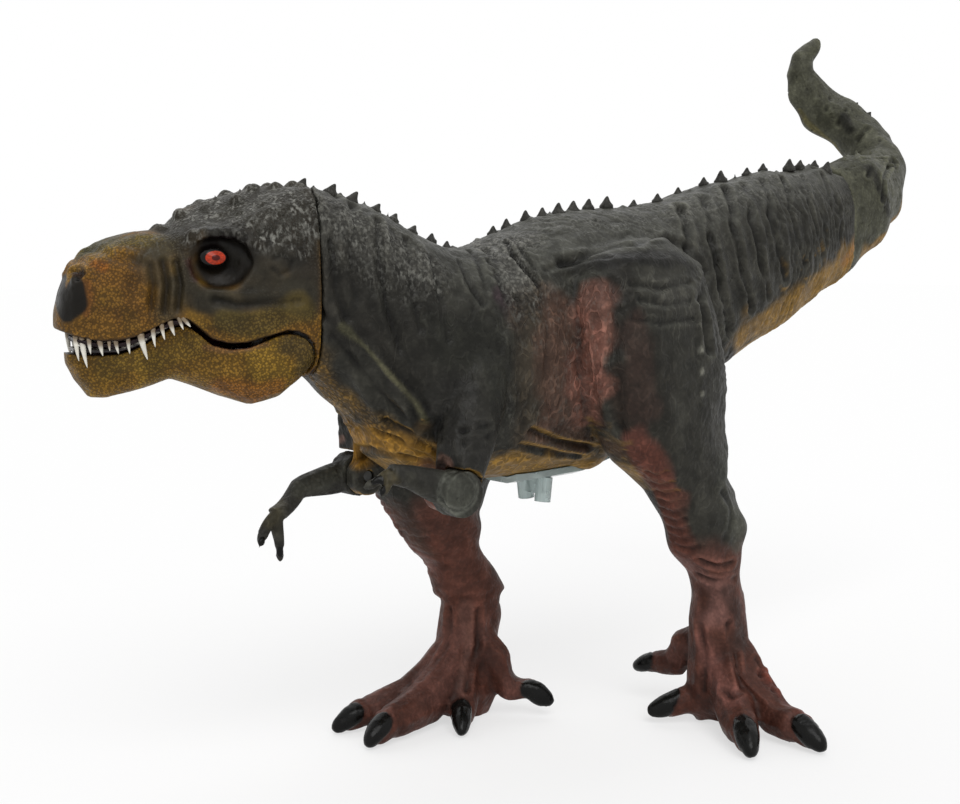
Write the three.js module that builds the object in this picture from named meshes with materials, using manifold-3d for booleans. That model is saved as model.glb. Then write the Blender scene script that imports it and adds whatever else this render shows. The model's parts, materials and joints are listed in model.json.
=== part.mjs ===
import * as THREE from 'three';
import { mergeVertices } from 'three/addons/utils/BufferGeometryUtils.js';
import Module from 'manifold-3d';

const wasm = await Module();
wasm.setup();

// A standing toy dinosaur. It faces -X, its left side is toward -Y, and z = 0 is the floor.
// Its clear belly support is the one piece that is not part of the animal.

// Driving sizes of the body, in millimetres
const bodyLength = 100;
const bodyHeight = 200;
const bodyWidth = 50;
const skinWall = 3.2;
const seamGap = 0.35;
const cutOverrun = 30;

// Driving sizes of the head, which is modelled in its own frame with its back on x = 0
const headLength = 60;
const headHeight = 50;
const headWidth = 40;
const headYaw = THREE.MathUtils.degToRad(-18);
const lipThickness = 2.8;
const jawWall = 2.5;
const gumThickness = 1;
const gumWidth = 2.2;
const gumInset = 0.5;
const toothRadius = 1.1;

// Pegs, pins and their running clearance
const pinClearance = 0.35;
const neckPegRadius = 5;
const neckPegDepth = 5;
const neckFlangeRadius = 8;
const neckFlangeThickness = 2.5;
const jawPinRadius = 1.3;
const jawPinHalfLength = 14.8;
const jawKnuckleRadius = 6.4;
const jawBossHalfWidth = 6.5;
const jawBossRadius = 3.5;
const hipPegRadius = 6;
const anklePegRadius = 2.8;
const anklePegHeight = 5;
const tailPegRadius = 3.2;
const tailPegLength = 6;
const elbowDiscRadius = 5.6;
const elbowDiscThickness = 6;
const elbowPinRadius = 1.3;
const elbowTongueThickness = 4;
const elbowHighest = THREE.MathUtils.degToRad(145);
const elbowLowest = THREE.MathUtils.degToRad(215);
const forearmSpread = THREE.MathUtils.degToRad(45);
const forearmSweepDepth = 1.2;

// Arms, feet and toes
const upperArmRadius = 7.5;
const forearmRadius = 4;
const wristRadius = 2.8;
const palmRadius = 3;
const footRise = 17;
const toeRadius = 6.6;

// Small features
const spikeRadius = 1.7;
const spikeHeight = 2.4;
const foldRadius = 1.6;
const foldSink = 0.7;
const backSpikeCount = 30;
const tailSpikeCount = 9;
const crownSpikeCount = 4;
const clawLength = 11;
const clawRadius = 4.1;
const handClawLength = 1.5;
const fingerRadius = 1.4;
const eyeRadius = 3.3;
const eyeDepth = 2.1;
const supportThickness = 1.6;
const supportWidth = 15;
const supportTabDrop = 6.5;
const supportTabThickness = 2.2;

// Facets round each kind of form
const trunkSides = 26;
const headSides = 22;
const legSides = 24;
const limbSides = 12;
const toeSides = 8;
const pinSides = 16;
const spikeSides = 6;
const foldSides = 6;
const foldSteps = 7;
const toothSides = 7;

// Head sections: how square they are, and the share of their height at which they are widest
const headSquareness = 0.7;
const headWidestShare = 0.42;

// Where each row of spikes starts and ends along its top line, and how small the lesser ones are
const backSpikeSpanShare = [0.015, 0.97];
const tailSpikeSpanShare = [0.1, 0.72];
const crownSpikeSpanShare = [0.04, 0.3];
const smallSpikeShare = 0.72;

const up = new THREE.Vector3(0, 0, 1);
const leftward = new THREE.Vector3(0, -1, 0);

function skinMaterial(color, roughness = 0.5) {
  return new THREE.MeshStandardMaterial({ color, roughness, metalness: 0 });
}

// Solids and cuts

function solidOf(geometry) {
  const bare = geometry.clone();
  bare.deleteAttribute('normal');
  bare.deleteAttribute('uv');
  const merged = mergeVertices(bare);
  const vertProperties = new Float32Array(merged.attributes.position.array);
  const triVerts = new Uint32Array(merged.index.array);
  return new wasm.Manifold(new wasm.Mesh({ numProp: 3, vertProperties, triVerts }));
}

function placedSolid(geometry, position, rotation = [0, 0, 0]) {
  const matrix = new THREE.Matrix4().makeRotationFromEuler(new THREE.Euler(...rotation));
  matrix.setPosition(...position);
  return solidOf(geometry.clone().applyMatrix4(matrix));
}

function meshOf(name, solid, material) {
  const { vertProperties, triVerts } = solid.getMesh();
  const geometry = new THREE.BufferGeometry();
  geometry.setAttribute('position', new THREE.BufferAttribute(vertProperties, 3));
  geometry.setIndex(new THREE.BufferAttribute(triVerts, 1));
  geometry.computeVertexNormals();
  const mesh = new THREE.Mesh(geometry, material);
  mesh.name = name;
  return mesh;
}

function joined(solids) {
  return solids.reduce((whole, next) => whole.add(next));
}

// The largest body that a cut leaves, without its loose slivers
function mainBody(solid) {
  return solid.decompose().reduce((best, next) => (next.volume() > best.volume() ? next : best));
}

// A round pin whose ends lie at two points
function pinBetween(start, end, radius, sides = pinSides) {
  const from = new THREE.Vector3(...start);
  const along = new THREE.Vector3(...end).sub(from);
  const geometry = new THREE.CylinderGeometry(radius, radius, along.length(), sides);
  const length = new THREE.Vector3(0, 1, 0);
  const turn = new THREE.Quaternion().setFromUnitVectors(length, along.clone().normalize());
  geometry.applyMatrix4(new THREE.Matrix4().makeRotationFromQuaternion(turn));
  const middle = from.addScaledVector(along, 0.5);
  geometry.translate(middle.x, middle.y, middle.z);
  return solidOf(geometry);
}

// A block that fills all space on one side of a level, for flat cuts
function levelBlock(level, side, reach = bodyHeight) {
  const block = new THREE.BoxGeometry(reach * 2, reach * 2, reach);
  return placedSolid(block, [0, 0, level + side * reach / 2]);
}

// An outline in the x-z plane, extruded across the body
function sidePrism(points, from, to) {
  const shape = new THREE.Shape(points.map(([x, z]) => new THREE.Vector2(x, z)));
  const geometry = new THREE.ExtrudeGeometry(shape, { depth: to - from, bevelEnabled: false });
  geometry.rotateX(Math.PI / 2);
  geometry.translate(0, to, 0);
  return solidOf(geometry);
}

// An outline seen from above, extruded upward
function planPrism(points, bottom, top) {
  const shape = new THREE.Shape(points.map(([x, y]) => new THREE.Vector2(x, y)));
  const geometry = new THREE.ExtrudeGeometry(shape, { depth: top - bottom, bevelEnabled: false });
  geometry.translate(0, 0, bottom);
  return solidOf(geometry);
}

// Lofts through closed rings

// A point on one ring, which has a centre, sideways and upward directions, and a reach each way.
// A squareness of 1 gives an ellipse, and less gives flatter flanks.
function ringPoint({ centre, side, upward, halfWidth, above, below, squareness = 1 }, angle, grow = 0) {
  const c = Math.cos(angle);
  const s = Math.sin(angle);
  const across = Math.sign(c) * Math.abs(c) ** squareness * (halfWidth + grow);
  const high = Math.sign(s) * Math.abs(s) ** squareness * ((s > 0 ? above : below) + grow);
  return centre.clone().addScaledVector(side, across).addScaledVector(upward, high);
}

function ring(station, sides, grow = 0) {
  return Array.from({ length: sides }, (_, i) => ringPoint(station, (i / sides) * Math.PI * 2, grow));
}

function loft(rings) {
  const sides = rings[0].length;
  const positions = [];
  const index = [];
  rings.flat().forEach((p) => positions.push(p.x, p.y, p.z));
  const centreOf = (points) => points.reduce((sum, p) => sum.add(p), new THREE.Vector3())
    .divideScalar(points.length);
  const caps = [centreOf(rings[0]), centreOf(rings[rings.length - 1])];
  caps.forEach((p) => positions.push(p.x, p.y, p.z));
  const startCap = rings.length * sides;
  const endCap = startCap + 1;
  for (let i = 0; i < sides; i += 1) {
    const next = (i + 1) % sides;
    for (let k = 0; k < rings.length - 1; k += 1) {
      const a = k * sides + i;
      const b = k * sides + next;
      index.push(a, b, b + sides, a, b + sides, a + sides);
    }
    const last = (rings.length - 1) * sides;
    index.push(startCap, next, i, endCap, last + i, last + next);
  }
  const geometry = new THREE.BufferGeometry();
  geometry.setAttribute('position', new THREE.Float32BufferAttribute(positions, 3));
  geometry.setIndex(index);
  const solid = solidOf(geometry);
  if (solid.volume() > 0) return solid;
  geometry.setIndex(index.map((_, i) => index[i - (i % 3) + 2 - (i % 3)]));
  return solidOf(geometry);
}

// A ring given by its top and bottom points
function spanRing(top, bottom, halfWidth, heading = 0, squareness = 0.9, widest = 0.5) {
  const height = top.distanceTo(bottom);
  return {
    centre: bottom.clone().lerp(top, widest),
    side: leftward.clone().applyAxisAngle(up, heading),
    upward: top.clone().sub(bottom).normalize(),
    halfWidth,
    above: height * (1 - widest),
    below: height * widest,
    squareness,
  };
}

// Rings along a path of [x, y, z, halfWidth, halfHeight], each square to the path.
// The sideways direction is carried from ring to ring, so the form does not twist.
function pathRings(stations, firstSide = null) {
  const places = stations.map(([x, y, z]) => new THREE.Vector3(x, y, z));
  let side = firstSide;
  return stations.map(([, , , halfWidth, halfHeight], i) => {
    const before = places[Math.max(i - 1, 0)];
    const after = places[Math.min(i + 1, places.length - 1)];
    const along = after.clone().sub(before).normalize();
    if (side === null) side = new THREE.Vector3().crossVectors(along, up);
    side = side.clone().addScaledVector(along, -side.dot(along)).normalize();
    const upward = new THREE.Vector3().crossVectors(side, along).normalize();
    return { centre: places[i], side, upward, halfWidth, above: halfHeight, below: halfHeight };
  });
}

// A limb or toe whose path stays upright in side view, so its rings use a fixed side
function limbRings(stations) {
  return pathRings(stations).map((r, i, all) => {
    const before = all[Math.max(i - 1, 0)].centre;
    const after = all[Math.min(i + 1, all.length - 1)].centre;
    const along = after.clone().sub(before).normalize();
    const side = leftward.clone().addScaledVector(along, -leftward.dot(along)).normalize();
    return { ...r, side, upward: new THREE.Vector3().crossVectors(along, side).normalize() };
  });
}

function loftOf(stations, sides, grow = 0) {
  return loft(stations.map((station) => ring(station, sides, grow)));
}

const bodyPoint = (x, y, z) => new THREE.Vector3(x * bodyLength, y * bodyWidth, z * bodyHeight);

// Head frame: its back is a flat seam across the neck
const neckSeamShare = [-0.495, 0.14, 0.61];
const seamCentre = bodyPoint(...neckSeamShare);
const headForward = new THREE.Vector3(-1, 0, 0).applyAxisAngle(up, headYaw);

// Shares of headLength, headHeight and headWidth, from the seam to the nose:
// distance, top, bottom, half width
const skullShares = [
  [0, 0.48, -0.44, 0.43],
  [0.08, 0.47, -0.44, 0.46],
  [0.2, 0.45, -0.42, 0.47],
  [0.33, 0.41, -0.38, 0.45],
  [0.43, 0.385, -0.34, 0.41],
  [0.49, 0.335, -0.3, 0.365],
  [0.545, 0.262, -0.3, 0.32],
  [0.66, 0.25, -0.3, 0.3],
  [0.76, 0.22, -0.3, 0.285],
  [0.84, 0.17, -0.3, 0.26],
  [0.9, 0.09, -0.3, 0.22],
  [0.935, -0.01, -0.28, 0.165],
  [0.955, -0.1, -0.26, 0.1],
];
const jawShares = [
  [0.02, 0, -0.4, 0.4],
  [0.07, 0, -0.46, 0.425],
  [0.14, 0, -0.52, 0.43],
  [0.25, 0, -0.545, 0.42],
  [0.36, 0, -0.51, 0.385],
  [0.46, 0, -0.46, 0.31],
  [0.54, 0, -0.425, 0.245],
  [0.66, 0, -0.46, 0.2],
  [0.78, 0, -0.507, 0.178],
  [0.84, 0, -0.503, 0.155],
  [0.89, -0.1, -0.43, 0.122],
  [0.92, -0.16, -0.35, 0.08],
];

// The lip lines, as shares of headLength forward and headHeight up
const upperLipShares = [
  [0.99, -0.17], [0.9, -0.215], [0.81, -0.24], [0.74, -0.24], [0.68, -0.22], [0.62, -0.185],
  [0.55, -0.14], [0.5, -0.14], [0.46, -0.18], [0.41, -0.235], [0.35, -0.255], [0.28, -0.25],
];
const lowerLipShares = [
  [0.99, -0.29], [0.9, -0.3], [0.81, -0.305], [0.74, -0.3], [0.68, -0.28], [0.62, -0.24],
  [0.55, -0.185], [0.5, -0.17], [0.46, -0.207], [0.41, -0.262], [0.35, -0.282], [0.28, -0.277],
];
const mouthFloorShare = -0.4;
const palateShares = { back: 0.3, front: 0.99, bottom: -0.36, top: 0.02 };
const archShares = [0.51, 0.56, 0.62, 0.68, 0.74, 0.8, 0.85, 0.88, 0.905];

const headPoint = (forward, high) => [-forward * headLength, high * headHeight];
const jawAxisShare = [0.128, -0.34];
const [jawAxisX, jawAxisZ] = headPoint(...jawAxisShare);

function headRings(shares) {
  return shares.map(([forward, top, bottom, half]) => {
    const [x, zTop] = headPoint(forward, top);
    const [, zBottom] = headPoint(forward, bottom);
    const [topPoint, bottomPoint] = [zTop, zBottom].map((z) => new THREE.Vector3(x, 0, z));
    return spanRing(topPoint, bottomPoint, half * headWidth, 0, headSquareness, headWidestShare);
  });
}

// Everything under a lip line, with a round end over the jaw knuckle
const knuckleArc = { from: 115, to: -30, steps: 7 };

function belowLine(shares, knuckleRadius) {
  const line = shares.map(([forward, high]) => headPoint(forward, high));
  for (let i = 0; i <= knuckleArc.steps; i += 1) {
    const angle = THREE.MathUtils.degToRad(
      knuckleArc.from + (knuckleArc.to - knuckleArc.from) * (i / knuckleArc.steps),
    );
    line.push([jawAxisX + Math.cos(angle) * knuckleRadius, jawAxisZ + Math.sin(angle) * knuckleRadius]);
  }
  const floor = -headHeight;
  const front = -headLength - cutOverrun;
  return [[front, line[0][1]], ...line, [line[line.length - 1][0], floor], [front, floor]];
}

// Neck and trunk, from the seam back to the tail joint

// Each row: top x and z, bottom x and z, sideways place and half width, as shares of
// bodyLength, bodyHeight and bodyWidth, and then the ring's heading in degrees
const trunkShares = [
  [-0.43, 0.718, -0.455, 0.48, 0.1, 0.34, 14],
  [-0.34, 0.705, -0.405, 0.455, 0.06, 0.36, 10],
  [-0.24, 0.677, -0.37, 0.432, 0.03, 0.39, 6],
  [-0.14, 0.654, -0.335, 0.396, 0.01, 0.425, 3],
  [-0.03, 0.652, -0.24, 0.364, 0, 0.455, 0],
  [0.1, 0.677, -0.08, 0.358, 0, 0.48, 0],
  [0.26, 0.698, 0.12, 0.356, 0, 0.48, 0],
  [0.42, 0.706, 0.3, 0.358, 0, 0.45, 0],
  [0.56, 0.709, 0.47, 0.378, 0, 0.42, 0],
  [0.7, 0.723, 0.63, 0.418, 0, 0.39, 0],
  [0.85, 0.742, 0.81, 0.463, 0, 0.36, 0],
  [1.02, 0.756, 0.99, 0.502, 0.01, 0.33, 2],
  [1.2, 0.766, 1.17, 0.533, 0.03, 0.29, -4],
  [1.38, 0.775, 1.35, 0.566, 0.09, 0.25, -9],
  [1.52, 0.78, 1.5, 0.603, 0.17, 0.225, -15],
];
const [tailJointShare] = trunkShares.slice(-1);
const hipRow = 7;
const hollowRows = 12;

const bodyRing = ([xTop, zTop, xBottom, zBottom, y, half, heading]) => spanRing(
  bodyPoint(xTop, y, zTop),
  bodyPoint(xBottom, y, zBottom),
  half * bodyWidth,
  THREE.MathUtils.degToRad(-heading),
);

// The ring on the neck side of the seam, which matches the back of the skull
function seamRing() {
  const [[, top, bottom, half]] = skullShares;
  const back = seamCentre.clone().addScaledVector(headForward, -seamGap);
  const topPoint = back.clone().addScaledVector(up, top * headHeight);
  const bottomPoint = back.clone().addScaledVector(up, bottom * headHeight);
  return spanRing(topPoint, bottomPoint, half * headWidth, headYaw, headSquareness, headWidestShare);
}

const trunkRings = [seamRing(), ...trunkShares.map(bodyRing)];

function trunkSolid(grow = 0) {
  return loftOf(trunkRings, trunkSides, grow);
}

// Folds of the trunk's skin. Each row: from which ring of the trunk and at which angle in degrees
// above its side, and then to which ring and angle. Each fold is on both sides.
const foldShares = [
  [0.9, 68, 1.05, 18], [1.9, 66, 2.05, 12], [2.9, 64, 3.05, 8],
  [1.1, -12, 4.1, -50], [0.9, -38, 3.3, -66],
  [5, 30, 5.2, -30],
  [10.1, 60, 10.35, -12], [10.75, 66, 11, -30], [11.4, 68, 11.65, -36], [12.05, 68, 12.3, -38],
  [12.7, 68, 12.95, -38], [13.35, 66, 13.6, -38], [14, 66, 14.25, -38],
];

function foldSolid([fromRing, fromAngle, toRing, toAngle], mirrored, grow) {
  const stations = [];
  for (let i = 0; i <= foldSteps; i += 1) {
    const t = i / foldSteps;
    const at = fromRing + (toRing - fromRing) * t;
    const degrees = fromAngle + (toAngle - fromAngle) * t;
    const angle = THREE.MathUtils.degToRad(mirrored ? 180 - degrees : degrees);
    const row = Math.floor(at);
    const [a, b] = [row, row + 1].map((k) => ringPoint(trunkRings[k], angle, -foldSink));
    const radius = foldRadius * (0.45 + 0.55 * Math.sin(Math.PI * t)) + grow;
    stations.push([...a.lerp(b, at - row).toArray(), radius, radius]);
  }
  return loftOf(pathRings(stations), foldSides);
}

function folds(grow = 0) {
  return foldShares.flatMap((share) => [false, true].map((mirrored) => foldSolid(share, mirrored, grow)));
}

// Spikes down the middle of a form, from one share of its top line to another
function spikes([from, to], count, rings, scale = 1) {
  const tops = rings.map((r) => r.centre.clone().addScaledVector(r.upward, r.above));
  const curve = new THREE.CatmullRomCurve3(tops, false, 'centripetal');
  const cones = [];
  for (let i = 0; i < count; i += 1) {
    const at = from + ((to - from) * i) / (count - 1);
    const place = curve.getPointAt(at);
    const height = (spikeHeight + spikeRadius) * scale;
    const cone = new THREE.ConeGeometry(spikeRadius * scale, height, spikeSides);
    cone.rotateX(Math.PI / 2);
    cone.translate(place.x, place.y, place.z + height / 2 - spikeRadius * scale);
    cones.push(solidOf(cone));
  }
  return cones;
}

// Arms

// Shares of bodyLength, bodyWidth and bodyHeight for the joint of each arm
const leftArm = {
  name: 'left',
  shoulderShare: [-0.15, -0.34, 0.5],
  elbowShare: [-0.28, -0.5, 0.367],
  wristShare: [-0.41, -0.47, 0.392],
  knuckleShare: [-0.455, -0.45, 0.397],
  tipShares: [[-0.5, -0.41, 0.385], [-0.487, -0.48, 0.378]],
  side: -1,
};
const rightArm = {
  name: 'right',
  shoulderShare: [-0.21, 0.33, 0.5],
  elbowShare: [-0.265, 0.385, 0.364],
  wristShare: [-0.43, 0.4, 0.353],
  knuckleShare: [-0.5, 0.37, 0.327],
  tipShares: [[-0.553, 0.35, 0.293], [-0.488, 0.39, 0.27]],
  side: 1,
};
const armPoint = (share) => bodyPoint(...share).toArray();

function elbowCentre(arm) {
  return armPoint(arm.elbowShare);
}

// The slice of space beside an elbow, from the tongue's outer face outward or inward
function elbowSpan(arm) {
  const [, y] = elbowCentre(arm);
  return { inner: y - arm.side * elbowDiscThickness / 2, outer: y + arm.side * elbowDiscThickness / 2 };
}

function upperArm(arm) {
  const shoulder = armPoint(arm.shoulderShare);
  const elbow = elbowCentre(arm);
  const middle = shoulder.map((value, i) => value + (elbow[i] - value) * 0.55);
  const { inner, outer } = elbowSpan(arm);
  const flesh = loftOf(limbRings([
    [shoulder[0], shoulder[1], shoulder[2] + upperArmRadius, upperArmRadius * 0.6, upperArmRadius * 0.8],
    [...shoulder, upperArmRadius, upperArmRadius * 1.15],
    [...middle, upperArmRadius * 0.9, upperArmRadius],
    [elbow[0], elbow[1], elbow[2] + elbowDiscRadius * 0.3, upperArmRadius * 0.75, elbowDiscRadius],
    [elbow[0], elbow[1], elbow[2] - elbowDiscRadius * 0.8, upperArmRadius * 0.5, elbowDiscRadius * 0.55],
  ]), limbSides);
  const room = elbowDiscRadius + seamGap;
  const discRoom = pinBetween(
    [elbow[0], inner - arm.side * seamGap, elbow[2]],
    [elbow[0], outer + arm.side * cutOverrun, elbow[2]],
    room,
    pinSides,
  );
  const below = placedSolid(
    new THREE.BoxGeometry(room * 4, cutOverrun, room * 2),
    [elbow[0], inner - arm.side * seamGap + arm.side * cutOverrun / 2, elbow[2] - room],
  );
  const tongue = pinBetween(
    [elbow[0], inner - arm.side * seamGap, elbow[2]],
    [elbow[0], inner - arm.side * (seamGap + elbowTongueThickness), elbow[2]],
    elbowDiscRadius * 0.9,
  );
  const bore = elbowPin(arm, pinClearance, elbowTongueThickness);
  return flesh.subtract(discRoom).subtract(below).subtract(forearmSweep(arm)).add(tongue).subtract(bore);
}

// The fan that the forearm sweeps between its stops, a little deeper than the disc's inner face
function forearmSweep(arm) {
  const [x, , z] = elbowCentre(arm);
  const { inner } = elbowSpan(arm);
  const [first, last] = [elbowHighest - forearmSpread, elbowLowest + forearmSpread];
  const fan = [[x, z]];
  for (let i = 0; i <= toeSides; i += 1) {
    const angle = first + (last - first) * (i / toeSides);
    fan.push([x + Math.cos(angle) * cutOverrun, z + Math.sin(angle) * cutOverrun]);
  }
  const edges = [inner - arm.side * forearmSweepDepth, inner + arm.side * cutOverrun].sort((a, b) => a - b);
  return sidePrism(fan, ...edges);
}

function elbowPin(arm, grow = 0, extra = 0) {
  const [x, , z] = elbowCentre(arm);
  const { inner, outer } = elbowSpan(arm);
  const from = inner - arm.side * (seamGap + elbowTongueThickness * 0.75 + extra);
  const to = outer - arm.side * (elbowDiscThickness * 0.3 - grow);
  return pinBetween([x, from, z], [x, to, z], elbowPinRadius + grow);
}

function forearm(arm) {
  const elbow = elbowCentre(arm);
  const wrist = armPoint(arm.wristShare);
  const knuckle = armPoint(arm.knuckleShare);
  const { inner, outer } = elbowSpan(arm);
  const disc = pinBetween([elbow[0], inner, elbow[2]], [elbow[0], outer, elbow[2]], elbowDiscRadius);
  const start = elbow.map((value, i) => value + (wrist[i] - value) * 0.1);
  const shaft = loftOf(limbRings([
    [...start, elbowDiscThickness * 0.48, forearmRadius * 1.1],
    [...start.map((value, i) => value + (wrist[i] - value) * 0.4), forearmRadius * 0.8, forearmRadius],
    [...wrist, wristRadius, wristRadius],
    [...knuckle, palmRadius, palmRadius * 0.8],
  ]), limbSides);
  const fingers = arm.tipShares.map((share) => {
    const tip = armPoint(share);
    const bend = knuckle.map((value, i) => value + (tip[i] - value) * 0.5);
    const ahead = new THREE.Vector3(...tip).sub(new THREE.Vector3(...bend)).normalize();
    const point = new THREE.Vector3(...tip).addScaledVector(ahead, handClawLength).toArray();
    return loftOf(limbRings([
      [...knuckle, fingerRadius * 1.2, fingerRadius * 1.2],
      [...bend, fingerRadius, fingerRadius],
      [...tip, fingerRadius * 0.85, fingerRadius * 0.85],
      [...point, fingerRadius * 0.2, fingerRadius * 0.2],
    ]), toeSides);
  });
  const tongueRoom = pinBetween(
    [elbow[0], inner, elbow[2]],
    [elbow[0], inner - arm.side * cutOverrun, elbow[2]],
    elbowDiscRadius + seamGap,
  );
  return joined([disc, shaft, ...fingers]).subtract(tongueRoom).subtract(elbowPin(arm, pinClearance));
}

// Legs

// Each row: front x and z, back x and z, sideways place, half width, as body shares
const leftLeg = {
  name: 'left',
  side: -1,
  hipShare: [0.38, 0, 0.54],
  shares: [
    [0.3, 0.66, 0.45, 0.665, -0.4, 0.1],
    [0.17, 0.64, 0.54, 0.635, -0.42, 0.2],
    [0.11, 0.585, 0.59, 0.57, -0.44, 0.26],
    [0.12, 0.515, 0.62, 0.5, -0.45, 0.285],
    [0.18, 0.44, 0.63, 0.43, -0.47, 0.27],
    [0.28, 0.375, 0.635, 0.37, -0.5, 0.24],
    [0.375, 0.335, 0.68, 0.322, -0.53, 0.2],
    [0.43, 0.295, 0.668, 0.288, -0.55, 0.175],
    [0.485, 0.245, 0.665, 0.245, -0.555, 0.16],
    [0.54, 0.21, 0.68, 0.21, -0.55, 0.14],
    [0.545, 0.18, 0.69, 0.18, -0.545, 0.14],
    [0.52, 0.15, 0.72, 0.15, -0.54, 0.16],
  ],
  ankleShare: 0.185,
  footCentreShare: [0.655, -0.53],
  toes: [
    { tipShare: [0.485, -0.36], riseShare: 0.006, archShare: 1, sizeShare: 0.95 },
    { tipShare: [0.445, -1.1], riseShare: 0, archShare: 1.05, sizeShare: 1 },
    { tipShare: [0.625, -1.28], riseShare: 0, archShare: 1.3, sizeShare: 1 },
    { tipShare: [0.595, 0], riseShare: 0.045, archShare: 1.3, sizeShare: 0.75 },
  ],
};
const rightLeg = {
  name: 'right',
  side: 1,
  hipShare: [0.34, 0, 0.54],
  shares: [
    [0.24, 0.66, 0.42, 0.665, 0.4, 0.1],
    [0.1, 0.64, 0.52, 0.62, 0.42, 0.2],
    [0, 0.58, 0.56, 0.55, 0.44, 0.26],
    [-0.08, 0.515, 0.52, 0.475, 0.45, 0.285],
    [-0.13, 0.44, 0.4, 0.4, 0.46, 0.27],
    [-0.165, 0.37, 0.265, 0.335, 0.48, 0.24],
    [-0.13, 0.325, 0.185, 0.285, 0.5, 0.2],
    [-0.055, 0.275, 0.195, 0.24, 0.52, 0.175],
    [0.045, 0.215, 0.265, 0.19, 0.52, 0.15],
    [0.065, 0.175, 0.295, 0.17, 0.52, 0.145],
    [0.08, 0.15, 0.29, 0.135, 0.52, 0.145],
    [0.05, 0.11, 0.29, 0.1, 0.52, 0.16],
  ],
  ankleShare: 0.165,
  footCentreShare: [0.15, 0.5],
  toes: [
    { tipShare: [-0.245, 0.62], riseShare: 0, archShare: 0.85, sizeShare: 1 },
    { tipShare: [-0.26, 0.3], riseShare: 0, archShare: 0.85, sizeShare: 1 },
    { tipShare: [-0.01, 0.13], riseShare: 0, archShare: 0.9, sizeShare: 0.8 },
    { tipShare: [0.31, 0.1], riseShare: 0.022, archShare: 1.25, sizeShare: 0.85 },
  ],
};

function legRings(leg) {
  return leg.shares.map(([xFront, zFront, xBack, zBack, y, half]) => {
    const front = bodyPoint(xFront, y, zFront);
    const back = bodyPoint(xBack, y, zBack);
    return spanRing(front, back, half * bodyWidth, 0, 0.78);
  });
}

function legSolid(leg) {
  return loftOf(legRings(leg), legSides);
}

function hipPeg(leg, grow = 0) {
  const { x, z } = bodyPoint(...leg.hipShare);
  const inner = leg.side * (trunkHalfWidthAtHip() - skinWall * 2.2 - grow);
  const outer = leg.side * (trunkHalfWidthAtHip() + skinWall * 1.4);
  return pinBetween([x, outer, z], [x, inner, z], hipPegRadius + grow);
}

// The trunk is widest beside the hips, where its wall carries the hip pegs
function trunkHalfWidthAtHip() {
  const [, , , , , hipHalfWidth] = trunkShares[hipRow];
  return hipHalfWidth * bodyWidth;
}

function anklePlace(leg) {
  const level = leg.ankleShare * bodyHeight;
  const rows = leg.shares.map(([xFront, zFront, xBack, zBack, y]) => ({
    x: (xFront + xBack) / 2 * bodyLength,
    y: y * bodyWidth,
    z: (zFront + zBack) / 2 * bodyHeight,
  }));
  const below = rows.findIndex((row) => row.z < level);
  const [a, b] = [rows[below - 1], rows[below]];
  const t = (a.z - level) / (a.z - b.z);
  return [a.x + (b.x - a.x) * t, a.y + (b.y - a.y) * t, level];
}

function anklePeg(leg, grow = 0) {
  const [x, y, z] = anklePlace(leg);
  const bottom = z - anklePegHeight - seamGap;
  const top = z + anklePegHeight + grow;
  return pinBetween([x, y, bottom], [x, y, top], anklePegRadius + grow);
}

function buildLeg(leg, trunkGrown) {
  const level = leg.ankleShare * bodyHeight;
  return mainBody(legSolid(leg).subtract(trunkGrown).subtract(levelBlock(level + seamGap, -1)))
    .subtract(anklePeg(leg, pinClearance))
    .add(hipPeg(leg));
}

// A toe from the ankle's foot to its claw, with knuckles that swell
function toe(leg, { tipShare, riseShare, archShare, sizeShare: size }) {
  const [cx, cy] = [leg.footCentreShare[0] * bodyLength, leg.footCentreShare[1] * bodyWidth];
  const [tx, ty] = [tipShare[0] * bodyLength, tipShare[1] * bodyWidth];
  const lift = riseShare * bodyHeight;
  const reach = Math.hypot(tx - cx, ty - cy);
  const ahead = [(tx - cx) / reach, (ty - cy) / reach];
  const along = (d, z, r, h) => [cx + ahead[0] * d, cy + ahead[1] * d, z, r, h];
  const r = toeRadius * size;
  const nail = reach - clawLength * size;
  const claw = clawRadius * size;
  const arch = footRise * archShare;
  return joined([
    loftOf(pathRings([
      along(r * 0.1, footRise * 1.25, r * 0.8, r * 0.9),
      along(nail * 0.3, arch * 0.78 + lift * 0.5, r * 0.92, r * 1.1),
      along(nail * 0.58, arch * 0.46 + lift, r * 0.86, r),
      along(nail * 0.8, r * 0.88 + lift, r * 0.78, r * 0.86),
      along(nail, r * 0.78 + lift, r * 0.72, r * 0.76),
      along(nail + claw, r * 0.62 + lift, r * 0.42, r * 0.46),
    ]), toeSides),
    loftOf(pathRings([
      along(nail - claw * 0.3, r * 0.86 + lift, claw * 0.86, claw * 0.9),
      along(nail + clawLength * size * 0.25, r * 0.8 + lift, claw, claw * 1.05),
      along(nail + clawLength * size * 0.6, claw * 0.92 + lift, claw * 0.84, claw * 0.92),
      along(nail + clawLength * size * 0.88, claw * 0.58 + lift, claw * 0.54, claw * 0.58),
      along(reach, claw * 0.3 + lift, claw * 0.24, claw * 0.28),
    ]), toeSides),
  ]);
}

function footBase(leg) {
  const [ax, ay, az] = anklePlace(leg);
  const cx = leg.footCentreShare[0] * bodyLength;
  const cy = leg.footCentreShare[1] * bodyWidth;
  const widen = toeRadius;
  return loftOf(limbRings([
    [cx, cy, 0, widen * 1.05, widen * 1.15],
    [cx, cy, toeRadius * 0.9, widen * 1.4, widen * 1.55],
    [(cx * 2 + ax) / 3, (cy * 2 + ay) / 3, footRise * 0.8, widen * 1.3, widen * 1.55],
    [(cx + ax) / 2, (cy + ay) / 2, footRise * 1.25, widen * 1.15, widen * 1.45],
    [ax, ay, az + seamGap, widen * 1.05, widen * 1.3],
  ]), limbSides);
}

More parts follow.
